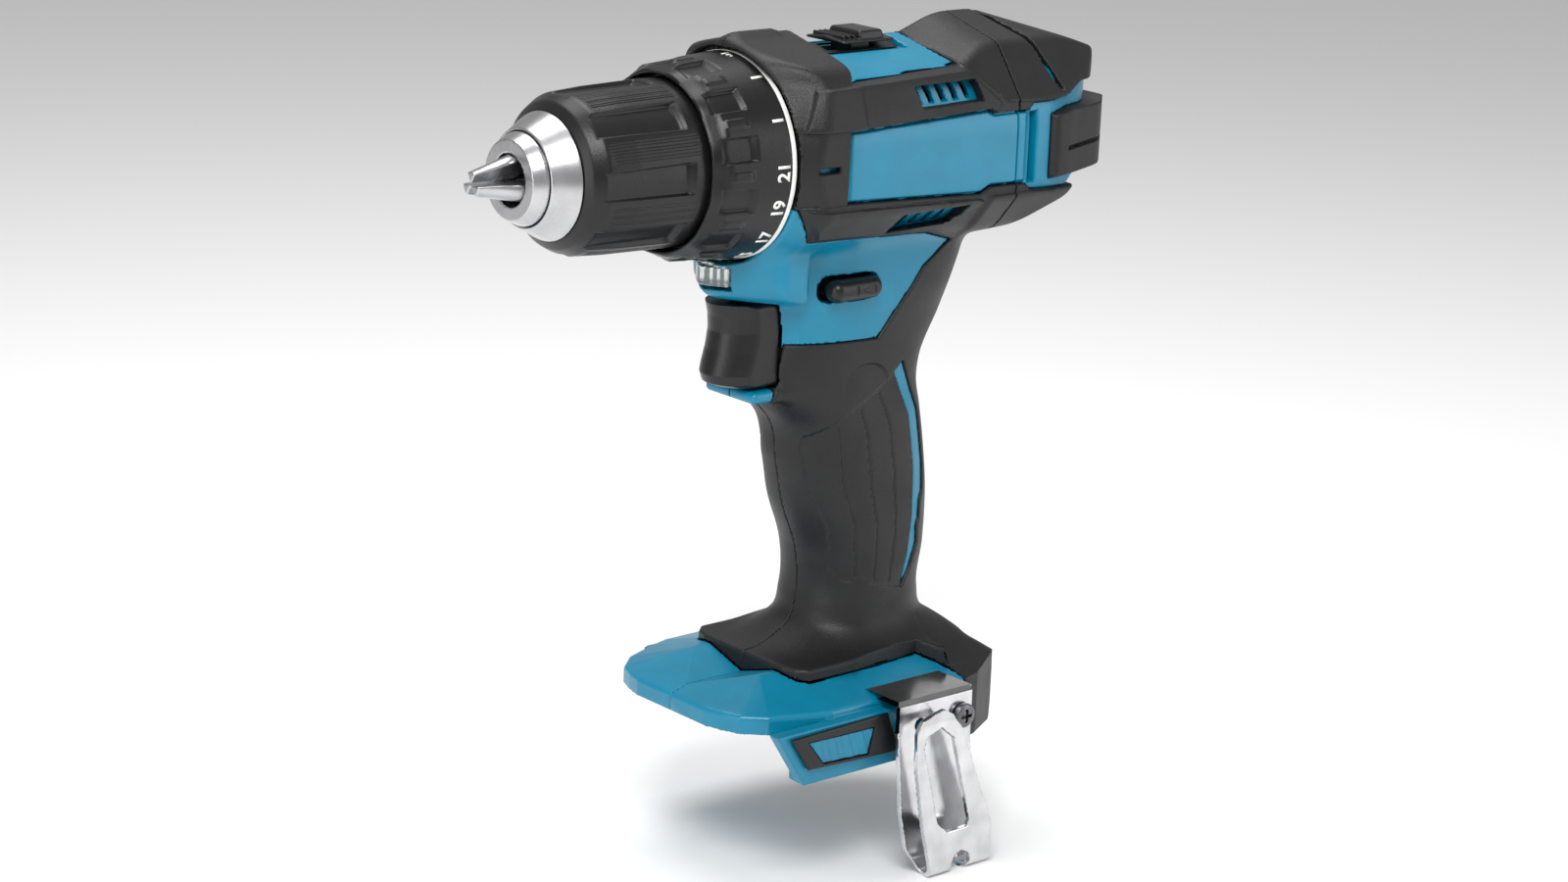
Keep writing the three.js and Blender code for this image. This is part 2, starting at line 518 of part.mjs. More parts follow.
// The clip is one strip: flange over the foot, back plate, bottom bend and a sprung tongue.
function beltClip() {
  const bend = (CLIP.back - CLIP.tongue) / 2;
  const centreY = (CLIP.back + CLIP.tongue) / 2;
  const arc = (radius, from, to, steps) => Array.from({ length: steps + 1 }, (_, i) => {
    const turn = from + (to - from) * i / steps;
    return [centreY + radius * Math.cos(turn), CLIP.bottom + bend + radius * Math.sin(turn)];
  });
  const inner = bend - CLIP.thickness;
  const tip = [CLIP.tongue - 2.6, -147];
  const outline = [[CLIP.back + 12, -144.2], [CLIP.back - CLIP.thickness, -144.2],
    ...arc(inner, 0, -Math.PI, 8), [tip[0] + CLIP.thickness, tip[1] - 5], [tip[0] - 1.2, tip[1]],
    [tip[0] - 2.7, tip[1]], [tip[0], tip[1] - 5.4], ...arc(bend, -Math.PI, 0, 8),
    [CLIP.back, -145.7], [CLIP.back + 12, -145.7]];
  const strip = prism(outline, CLIP.front, CLIP.rear, ALONG_X);
  const free = [-70, CLIP.tongue + CLIP.thickness + 0.4];
  const sides = [prism([[CLIP.front - 1, -140], [-6, -140], [-11.4, -152], [CLIP.front + 2, -196],
    [CLIP.front - 1, -196]],
    free[0], free[1], ALONG_Y),
    prism([[CLIP.rear + 1, -140], [9, -140], [13.6, -152], [CLIP.rear - 2, -196], [CLIP.rear + 1, -196]],
      free[0], free[1], ALONG_Y)];
  const slot = prism([[-2, -152], [5, -152], [7, -156], [8.4, -182], [5, -185], [-1.6, -185],
    [-4.6, -182], [-4, -156]],
    -70, CLIP.tongue + CLIP.thickness + 0.4, ALONG_Y);
  const notch = prism([[-0.5, -200], [1, -190], [4, -190], [5.5, -200]], -70, -30, ALONG_Y);
  return cut(strip, ...sides, slot, notch, crossRod(...CLIP_SCREW, -60, -40, 1.9));
}

const clipScrew = () => join(crossRod(...CLIP_SCREW, -47.4, -45.4, 3.4),
  crossRod(...CLIP_SCREW, -45.8, -37.4, 1.5));

// ---- assembly ----
const drill = new THREE.Group();
drill.name = "cordless_drill";
const aboutSpindle = new THREE.Group();
aboutSpindle.position.z = SPINDLE_HEIGHT;
drill.add(aboutSpindle);

function place(name, part, look) {
  const mesh = part.getMesh();
  const geometry = new THREE.BufferGeometry();
  geometry.setAttribute("position", new THREE.Float32BufferAttribute(mesh.vertProperties, 3));
  geometry.setIndex([...mesh.triVerts]);
  const material = new THREE.MeshStandardMaterial(look);
  const node = new THREE.Mesh(geometry, material);
  node.name = name;
  aboutSpindle.add(node);
}

const core = housingCore();
place("housing_left", largest(common(core, leftHalf())), TEAL);
place("housing_right", largest(common(core, rightHalf())), TEAL);
const rubber = overmould();
place("grip_left", largest(common(rubber, leftHalf())), RUBBER_BLACK);
place("grip_right", largest(common(rubber, rightHalf())), RUBBER_BLACK);
place("rear_cover", rearCover(), TEAL);
place("rear_bumper", largest(rearBumper()), RUBBER_BLACK);
SCREWS.forEach((at, i) => place(`housing_screw_${i + 1}`, housingScrew(at), DARK_STEEL));
place("foot_badge_left", footBadge(-1), BLACK);
place("foot_badge_right", footBadge(1), BLACK);
place("belt_clip", beltClip(), STEEL);
place("clip_screw", clipScrew(), DARK_STEEL);
place("terminal_holder", terminalHolder(), BLACK);
place("terminal_blade_left", terminalBlade(-1), COPPER);
place("terminal_blade_right", terminalBlade(1), COPPER);
place("led_lens", box([-50.6, -46], [-6.6, 6.6], [-34, -28.8]), LENS);
place("led_board", box([-45.2, -43.6], [-6.6, 6.6], [-34, -28.8]), BOARD);
place("switch_body", switchBody(), BLACK);

place("gear_case_front", gearCaseFront(), DARK_STEEL);
place("gear_case_rear", gearCaseRear(), BLACK);
place("ring_gear_1", ringGear(-15, -6.4), DARK_STEEL);
place("ring_gear_2", ringGear(-29.6, -19.6), DARK_STEEL);
place("spindle_bearing", tube(-57, -49, 12.3, 6.4), STEEL);
place("motor_can", motorCan(), DARK_STEEL);
place("magnet_ring", tube(14, 38, 18.7, 16.2, 24), MAGNET);
place("brush_holder", brushHolder(), BLACK);
place("brush_upper", brush(1), COPPER);
place("brush_lower", brush(-1), COPPER);
place("front_bearing", tube(9.2, 13.2, 7, SHAFT_RADIUS + GAP, 16), STEEL);
place("rear_bearing", tube(51.2, 55.2, 7, SHAFT_RADIUS + GAP, 16), STEEL);

place("motor_shaft", rod(MOTOR.shaftFront, MOTOR.shaftRear, SHAFT_RADIUS, 20), STEEL);
place("armature", armature(), COPPER);
place("commutator", commutator(), BRASS);
place("cooling_fan", fan(), BLACK);
place("motor_pinion", gear(TEETH.sun, -14, -6.6, SHAFT_RADIUS + GAP), STEEL);

place("carrier_1", join(carrier(STAGE_1), gear(TEETH.sun, -28.7, -17.5, 2), rod(-28.7, -17, 3.6, 16)),
  DARK_STEEL);
place("carrier_2", carrier(STAGE_2), DARK_STEEL);
around(3, (i, degrees) => {
  const angle = THREE.MathUtils.degToRad(degrees);
  place(`planet_gear_1_${i + 1}`, planet(angle, STAGE_1.front, STAGE_1.rear), STEEL);
  place(`planet_gear_2_${i + 1}`, planet(angle, STAGE_2.front, STAGE_2.rear), STEEL);
});
place("spindle", rod(SPINDLE.front, SPINDLE.rear - GAP, SPINDLE.radius), STEEL);

place("chuck_body", chuckBody(), STEEL);
place("chuck_sleeve", chuckSleeve(), BLACK);
place("sleeve_cone", turned([[-109.2, 12.2], [-109.2, 12.7], [CHUCK.front, 16.6], [CHUCK.front, 15.6],
  [-98.6, 15.6],
  [-98.6, 12.2]], 28), STEEL);
place("chuck_nut", turned([[-90, 13.2], [-90, 18.4], [-83, 18.4], [-83, 15.2]]), DARK_STEEL);
around(3, (i, degrees) => place(`jaw_${i + 1}`, jaw(degrees), STEEL));
place("torque_ring", torqueRing(), BLACK);
place("clutch_nut", tube(-58.6, -54, 23.6, 17.4), BLACK);
place("clutch_spring", clutchSpring(), STEEL);

place("trigger", trigger(), BLACK);
place("direction_lever", directionLever(), BLACK);
place("speed_knob", speedKnob(), BLACK);

export default drill;
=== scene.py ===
"""Looks of the cordless drill driver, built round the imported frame.

Shapes are worked out in millimetres about the spindle axis (x to the rear, y to the drill's right, z up)
and turned into metres in the frame's own axes when a mesh is made. Moulded parts are closed skins of
distance fields; turned parts are revolved profiles with flutes, pockets and steps.
"""
from __future__ import annotations

import json
import logging
import math
from dataclasses import dataclass
from enum import Enum
from typing import Callable, Iterable, Optional, Sequence

import bpy
import numpy as np
from mathutils import Matrix, Vector

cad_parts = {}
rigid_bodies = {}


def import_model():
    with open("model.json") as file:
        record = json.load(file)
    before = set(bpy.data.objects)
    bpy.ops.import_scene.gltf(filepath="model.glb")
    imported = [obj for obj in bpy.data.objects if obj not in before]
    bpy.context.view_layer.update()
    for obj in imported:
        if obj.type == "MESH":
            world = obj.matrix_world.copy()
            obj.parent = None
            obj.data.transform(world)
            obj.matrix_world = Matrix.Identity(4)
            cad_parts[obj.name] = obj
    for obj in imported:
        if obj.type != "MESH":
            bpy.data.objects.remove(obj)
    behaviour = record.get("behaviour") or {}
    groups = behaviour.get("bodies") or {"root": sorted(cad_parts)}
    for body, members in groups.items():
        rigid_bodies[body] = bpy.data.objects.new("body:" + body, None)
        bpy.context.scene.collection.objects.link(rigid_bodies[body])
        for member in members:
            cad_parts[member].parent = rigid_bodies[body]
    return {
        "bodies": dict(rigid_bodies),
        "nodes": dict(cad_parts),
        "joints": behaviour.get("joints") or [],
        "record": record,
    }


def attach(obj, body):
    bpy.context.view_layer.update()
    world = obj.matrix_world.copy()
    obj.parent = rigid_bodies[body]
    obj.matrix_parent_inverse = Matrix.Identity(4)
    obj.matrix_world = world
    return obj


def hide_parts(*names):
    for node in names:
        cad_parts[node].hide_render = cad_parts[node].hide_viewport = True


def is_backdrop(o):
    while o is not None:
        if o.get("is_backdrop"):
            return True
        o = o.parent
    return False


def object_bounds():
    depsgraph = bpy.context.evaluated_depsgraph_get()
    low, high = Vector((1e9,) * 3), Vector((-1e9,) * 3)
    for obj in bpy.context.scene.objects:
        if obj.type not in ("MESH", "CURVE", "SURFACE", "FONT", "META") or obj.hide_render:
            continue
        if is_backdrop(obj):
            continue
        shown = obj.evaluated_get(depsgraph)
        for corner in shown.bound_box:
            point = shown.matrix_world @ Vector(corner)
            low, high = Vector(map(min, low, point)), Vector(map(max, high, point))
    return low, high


LOG = logging.getLogger("drill")
MM = 0.001
FAR = 9.0  # a distance that is beyond any surface, in millimetres

Array = np.ndarray
Field = Callable[[Array, Array, Array], Array]
Profile = list[tuple[float, float]]
Outline = Sequence[tuple[float, float]]
Stretch = tuple[float, float, float]


# ---------------------------------------------------------------------------
# Distance-field helpers
# ---------------------------------------------------------------------------
def smooth_max(a: Array, b: Array, blend: float) -> Array:
    """Larger of two fields with a rounded crease.

    Args:
        a: first field.
        b: second field.
        blend: width of the rounding in millimetres.

    Returns:
        The blended field.
    """
    share = np.clip(0.5 + 0.5 * (a - b) / blend, 0.0, 1.0)
    return b + (a - b) * share + blend * share * (1.0 - share)


def smooth_min(a: Array, b: Array, blend: float) -> Array:
    """Smaller of two fields with a filleted corner."""
    return -smooth_max(-a, -b, blend)


def rounded_all(fields: Iterable[Array], blend: float) -> Array:
    """Intersection of several fields, each crease rounded by `blend`."""
    result: Optional[Array] = None
    for value in fields:
        result = value if result is None else smooth_max(result, value, blend)
    assert result is not None
    return result


def ramp(value: Array) -> Array:
    """Smooth step from 0 to 1 as value goes from 0 to 1."""
    t = np.clip(value, 0.0, 1.0)
    return t * t * (3.0 - 2.0 * t)


def inside_outline(u: Array, v: Array, outline: Outline) -> Array:
    """Signed distance to a closed outline in a plane.

    Args:
        u: first coordinate of each point.
        v: second coordinate of each point.
        outline: corners in order, either way round.

    Returns:
        Distance to the outline, negative inside it.
    """
    nearest = np.full(u.shape, 1e9, np.float32)
    flips = np.zeros(u.shape, bool)
    count = len(outline)
    for i in range(count):
        (au, av), (bu, bv) = outline[i], outline[(i + 1) % count]
        eu, ev = bu - au, bv - av
        du, dv = u - au, v - av
        along = np.clip((du * eu + dv * ev) / (eu * eu + ev * ev), 0.0, 1.0)
        nearest = np.minimum(nearest, (du - eu * along) ** 2 + (dv - ev * along) ** 2)
        if ev != 0.0:
            crosses = ((av > v) != (bv > v)) & (u < au + eu * (v - av) / ev)
            flips ^= crosses
    distance = np.sqrt(nearest)
    return np.where(flips, -distance, distance)


def slab(value: Array, low: float, high: float) -> Array:
    """Field of the space between two parallel planes."""
    return np.maximum(low - value, value - high)


def block(x: Array, y: Array, z: Array, low: Sequence[float], high: Sequence[float],
          round_by: float = 0.0) -> Array:
    """Field of a box with rounded edges.

    Args:
        x: x of each point.
        y: y of each point.
        z: z of each point.
        low: lowest corner.
        high: highest corner.
        round_by: edge radius.

    Returns:
        The box's signed distance.
    """
    away = [np.abs(value - (a + b) / 2) - (b - a) / 2 + round_by for value, a, b in zip((x, y, z), low, high)]
    outside = np.sqrt(sum(np.maximum(d, 0.0) ** 2 for d in away))
    return outside + np.minimum(np.maximum(np.maximum(away[0], away[1]), away[2]), 0.0) - round_by


def table(value: Array, rows: Sequence[tuple[float, float]]) -> Array:
    """Straight-line reading of a table of (position, value) rows."""
    keys, values = zip(*rows)
    return np.interp(value, keys, values)


def curve(value: Array, keys: Sequence[float], values: Sequence[float]) -> Array:
    """Smooth reading of a table: a cubic through every row.

    Args:
        value: where to read.
        keys: rising positions of the rows.
        values: the rows' values.

    Returns:
        The smoothly interpolated values.
    """
    k, v = np.asarray(keys, float), np.asarray(values, float)
    slopes = np.gradient(v, k)
    spot = np.clip(np.searchsorted(k, value, side="right") - 1, 0, len(k) - 2)
    width = k[spot + 1] - k[spot]
    t = np.clip((value - k[spot]) / width, 0.0, 1.0)
    t2, t3 = t * t, t * t * t
    return ((2 * t3 - 3 * t2 + 1) * v[spot] + (t3 - 2 * t2 + t) * width * slopes[spot]
            + (-2 * t3 + 3 * t2) * v[spot + 1] + (t3 - t2) * width * slopes[spot + 1])


# ---------------------------------------------------------------------------
# Meshes
# ---------------------------------------------------------------------------
@dataclass
class Surface:
    """Points, faces and point normals of a closed skin, in millimetres about the spindle axis."""

    points: Array
    faces: Array
    normals: Optional[Array] = None

    def turned(self, turn: float) -> "Surface":
        """Turns the skin about the spindle axis.

        Args:
            turn: angle in degrees by the right-hand rule about +x.

        Returns:
            The turned skin.
        """
        c, s = math.cos(math.radians(turn)), math.sin(math.radians(turn))
        spin = np.array([[1, 0, 0], [0, c, -s], [0, s, c]])
        normals = None if self.normals is None else self.normals @ spin.T
        return Surface(self.points @ spin.T, self.faces, normals)


class Skinner:
    """Makes a closed skin over the zero surface of a field."""

    BLOCK = 4
    CHUNK = 400_000

    def __init__(self, shape: Field, low: Sequence[float], high: Sequence[float], step: float) -> None:
        """Keeps the field and the region to search.

        Args:
            shape: field of the part, negative inside.
            low: lowest corner of the region in millimetres.
            high: highest corner.
            step: spacing of the sampling points.
        """
        self.shape = shape
        self.step = step
        self.low = np.asarray(low, float)
        blocks = np.ceil((np.asarray(high, float) - self.low) / (step * self.BLOCK)).astype(int)
        self.blocks = np.maximum(blocks, 1)

    def read(self, points: Array) -> Array:
        """Field values at many points, worked out in chunks."""
        out = np.empty(len(points), np.float32)
        for start in range(0, len(points), self.CHUNK):
            part = points[start:start + self.CHUNK]
            out[start:start + self.CHUNK] = self.shape(part[:, 0], part[:, 1], part[:, 2])
        return out

    def sample(self) -> Array:
        """Samples the field on the grid, finely only in blocks that the surface may cross."""
        size = self.step * self.BLOCK
        index = np.stack(np.meshgrid(*[np.arange(n) for n in self.blocks], indexing="ij"), -1).reshape(-1, 3)
        centres = self.low + (index + 0.5) * size - 0.5 * self.step
        coarse = self.read(centres)
        near = np.abs(coarse) < size * 0.87 * 1.5 + 0.6
        values = coarse.reshape(self.blocks)
        for axis in range(3):
            values = np.repeat(values, self.BLOCK, axis)
        offsets = np.stack(np.meshgrid(*[np.arange(self.BLOCK)] * 3, indexing="ij"), -1).reshape(-1, 3)
        cells = (index[near][:, None, :] * self.BLOCK + offsets[None]).reshape(-1, 3)
        values[tuple(cells.T)] = self.read(self.low + cells * self.step)
        return values

    def gradient(self, points: Array, reach: float) -> Array:
        """Slope of the field at points, from central differences."""
        slope = np.empty_like(points)
        for axis in range(3):
            ahead, behind = points.copy(), points.copy()
            ahead[:, axis] += reach
            behind[:, axis] -= reach
            slope[:, axis] = (self.read(ahead) - self.read(behind)) / (2 * reach)
        return slope

    def settle(self, points: Array, rounds: int = 3) -> Array:
        """Moves points onto the zero surface by Newton steps that are at most half a cell long."""
        for _ in range(rounds):
            slope = self.gradient(points, 0.05)
            value = self.read(points)
            length2 = np.maximum((slope ** 2).sum(1), 0.05)
            move = slope * (value / length2)[:, None]
            size = np.linalg.norm(move, axis=1)
            move *= (np.minimum(size, self.step * 0.5) / np.maximum(size, 1e-9))[:, None]
            points = points - move
        return points

    def build(self, keep: float = 1.0, name: str = "skin") -> Surface:
        """Makes the skin.

        Args:
            keep: share of faces to keep where the surface is smooth.
            name: name for progress reports.

        Returns:
            The closed skin with point normals.
        """
        values = self.sample()
        inner = values < 0.0
        corner = [(i, j, k) for i in (0, 1) for j in (0, 1) for k in (0, 1)]
        dims = np.array(values.shape) - 1

        def at(array: Array, c: tuple[int, int, int]) -> Array:
            return array[c[0]:c[0] + dims[0], c[1]:c[1] + dims[1], c[2]:c[2] + dims[2]]

        filled = sum(at(inner, c).astype(np.int8) for c in corner)
        mixed = (filled > 0) & (filled < 8)
        cells = np.argwhere(mixed)
        number = np.full(dims, -1, np.int64)
        number[tuple(cells.T)] = np.arange(len(cells))
        total = np.zeros((len(cells), 3))
        hits = np.zeros(len(cells))
        for a in corner:
            for axis in range(3):
                if a[axis] == 1:
                    continue
                b = tuple(a[n] + (n == axis) for n in range(3))
                va = values[tuple((cells + a).T)]
                vb = values[tuple((cells + b).T)]
                crossing = (va < 0) != (vb < 0)
                share = np.where(crossing, va / np.where(crossing, va - vb, 1.0), 0.0)
                point = np.array(a) + np.eye(3)[axis] * share[:, None]
                total += np.where(crossing[:, None], point, 0.0)
                hits += crossing
        points = self.low + (cells + total / hits[:, None]) * self.step
        faces = self.quads(inner, number)
        points = self.settle(points)
        if keep < 1.0:
            points, faces = self.thinned(points, faces, keep)
            points = self.settle(points, 1)
        normals = self.gradient(points, 0.12)
        normals /= np.maximum(np.linalg.norm(normals, axis=1), 1e-9)[:, None]
        LOG.info("%s: %d points, %d faces", name, len(points), len(faces))
        return Surface(points, faces, normals)

    @staticmethod
    def quads(inner: Array, number: Array) -> Array:
        """Faces across every grid edge that the surface crosses."""
        faces = []
        for axis in range(3):
            others = ((axis + 1) % 3, (axis + 2) % 3)
            low = [slice(None)] * 3
            high = [slice(None)] * 3
            low[axis], high[axis] = slice(0, -1), slice(1, None)
            change = inner[tuple(low)].astype(np.int8) - inner[tuple(high)].astype(np.int8)
            edges = np.argwhere(change != 0)
            edges = edges[np.all(edges[:, others] > 0, axis=1) & np.all(edges < number.shape, axis=1)]
            steps = [(-1, -1), (0, -1), (0, 0), (-1, 0)]
            ring = []
            for du, dv in steps:
                cell = edges.copy()
                cell[:, others[0]] += du
                cell[:, others[1]] += dv
                ring.append(number[tuple(cell.T)])
            quad = np.stack(ring, 1)
            outward = change[tuple(edges.T)] > 0
            faces.append(np.where(outward[:, None], quad, quad[:, ::-1]))
        return np.concatenate(faces)

    @staticmethod
    def thinned(points: Array, faces: Array, keep: float) -> tuple[Array, Array]:
        """Collapses faces where the surface is nearly flat."""
        mesh = bpy.data.meshes.new("thinning")
        mesh.from_pydata(points.tolist(), [], faces.tolist())
        helper = bpy.data.objects.new("thinning", mesh)
        bpy.context.scene.collection.objects.link(helper)
        modifier = helper.modifiers.new("thin", "DECIMATE")
        modifier.ratio = keep
        done = helper.evaluated_get(bpy.context.evaluated_depsgraph_get()).to_mesh()
        done.calc_loop_triangles()
        out_points = np.zeros(len(done.vertices) * 3)
        done.vertices.foreach_get("co", out_points)
        out_faces = np.zeros(len(done.loop_triangles) * 3, np.int32)
        done.loop_triangles.foreach_get("vertices", out_faces)
        bpy.data.objects.remove(helper)
        bpy.data.meshes.remove(mesh)
        return out_points.reshape(-1, 3), out_faces.reshape(-1, 3)


@dataclass
class Revolved:
    """A profile revolved about the spindle axis, with an optional relief on its outside.

    Attributes:
        profile: (x, radius) corners of the closed section, in order.
        rounding: radius of the section's corners.
        spacing: longest step along the section.
        around: number of steps round the axis.
        relief: gives the change of radius from x, angle and radius.
    """

    profile: Profile
    rounding: float = 0.35
    spacing: float = 1.0
    around: int = 160
    relief: Optional[Callable[[Array, Array, Array], Array]] = None

    def section(self) -> Array:
        """Rounds the section's corners and divides its long sides."""
        corners = np.array(self.profile, float)
        count = len(corners)
        out: list[Array] = []
        for i in range(count):
            before, here, after = corners[i - 1], corners[i], corners[(i + 1) % count]
            back, on = before - here, after - here
            lb, lo = np.linalg.norm(back), np.linalg.norm(on)
            cut = min(self.rounding, 0.45 * lb, 0.45 * lo)
            start, end = here + back / lb * cut, here + on / lo * cut
            for t in np.linspace(0, 1, 4):
                out.append((1 - t) ** 2 * start + 2 * t * (1 - t) * here + t ** 2 * end)
        ring: list[Array] = []
        for i, point in enumerate(out):
            following = out[(i + 1) % len(out)]
            pieces = max(1, int(math.ceil(np.linalg.norm(following - point) / self.spacing)))
            ring.extend(point + (following - point) * n / pieces for n in range(pieces))
        return np.array(ring)

    def build(self) -> Surface:
        """Revolves the section into a closed skin."""
        ring = self.section()
        area = np.sum(ring[:, 0] * np.roll(ring[:, 1], -1) - np.roll(ring[:, 0], -1) * ring[:, 1])
        if area < 0:
            ring = ring[::-1]
        turn = np.linspace(0, 2 * math.pi, self.around, endpoint=False)
        x = np.repeat(ring[:, 0][:, None], self.around, 1)
        r = np.repeat(ring[:, 1][:, None], self.around, 1)
        angle = np.repeat(turn[None], len(ring), 0)
        if self.relief is not None:
            r = r + self.relief(x, angle, r)
        points = np.stack([x, r * np.cos(angle), r * np.sin(angle)], -1).reshape(-1, 3)
        rows, cols = len(ring), self.around
        i, j = np.meshgrid(np.arange(rows), np.arange(cols), indexing="ij")
        a = i * cols + j
        b = i * cols + (j + 1) % cols
        c = ((i + 1) % rows) * cols + (j + 1) % cols
        d = ((i + 1) % rows) * cols + j
        return Surface(points, np.stack([a, b, c, d], -1).reshape(-1, 4))


class Workshop:
    """Turns skins into objects that ride on the frame's bodies."""

    def __init__(self, spindle_height: float) -> None:
        """Keeps the height of the spindle axis, in metres."""
        self.lift = spindle_height

    def row(self, points: Array) -> Array:
        """Millimetres about the spindle axis to metres in the frame's axes."""
        return points * MM + np.array([0.0, 0.0, self.lift])

    def place(self, name: str, skin: Surface, body: str, slot: str, look: bpy.types.Material,
              replaces: Sequence[str] = ()) -> bpy.types.Object:
        """Makes a piece of the drill.

        Args:
            name: name of the new object.
            skin: its surface.
            body: frame body that it rides on.
            slot: material slot of the record; not used.
            look: its material.
            replaces: frame nodes that it stands for.

        Returns:
            The new object.
        """
        mesh = bpy.data.meshes.new(name)
        mesh.from_pydata(self.row(skin.points).tolist(), [], skin.faces.tolist())
        mesh.polygons.foreach_set("use_smooth", np.ones(len(mesh.polygons), bool))
        if skin.normals is not None:
            mesh.normals_split_custom_set_from_vertices(skin.normals.tolist())
        mesh.update()
        mesh.materials.append(look)
        piece = bpy.data.objects.new(name, mesh)
        bpy.context.scene.collection.objects.link(piece)
        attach(piece, body)
        if replaces:
            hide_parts(*replaces)
        LOG.info("piece %s rides on %s, %d faces", name, body, len(mesh.polygons))
        return piece


# ---------------------------------------------------------------------------
# Housing: barrel, neck, handle and foot
# ---------------------------------------------------------------------------
class Stencil:
    """Distance to a flat outline, kept on a fine grid so that it reads quickly."""

    SPACING = 0.25
    MARGIN = 14.0

    def __init__(self, outline: Outline) -> None:
        """Works out the distance at every grid point.

        Args:
            outline: corners of the outline in order.
        """
        corners = np.asarray(outline, float)
        self.low = corners.min(0) - self.MARGIN
        self.count = np.ceil((corners.max(0) + self.MARGIN - self.low) / self.SPACING).astype(int) + 1
        u = self.low[0] + np.arange(self.count[0]) * self.SPACING
        v = self.low[1] + np.arange(self.count[1]) * self.SPACING
        grid_u, grid_v = np.meshgrid(u, v, indexing="ij")
        self.values = inside_outline(grid_u, grid_v, outline)

    def __call__(self, u: Array, v: Array) -> Array:
        """Reads the distance at points, flat beyond the grid."""
        fu = np.clip((u - self.low[0]) / self.SPACING, 0, self.count[0] - 1.001)
        fv = np.clip((v - self.low[1]) / self.SPACING, 0, self.count[1] - 1.001)
        iu, iv = fu.astype(np.int64), fv.astype(np.int64)
        fu, fv = fu - iu, fv - iv
        near, next_u = self.values[iu, iv], self.values[iu + 1, iv]
        next_v, across = self.values[iu, iv + 1], self.values[iu + 1, iv + 1]
        return (near * (1 - fu) + next_u * fu) * (1 - fv) + (next_v * (1 - fu) + across * fu) * fv


def nose_bow(w: Array) -> Array:
    """How far the front of the nose falls back at half width w."""
    return 0.75 * (np.sqrt(w * w + 4.0) - 2.0)


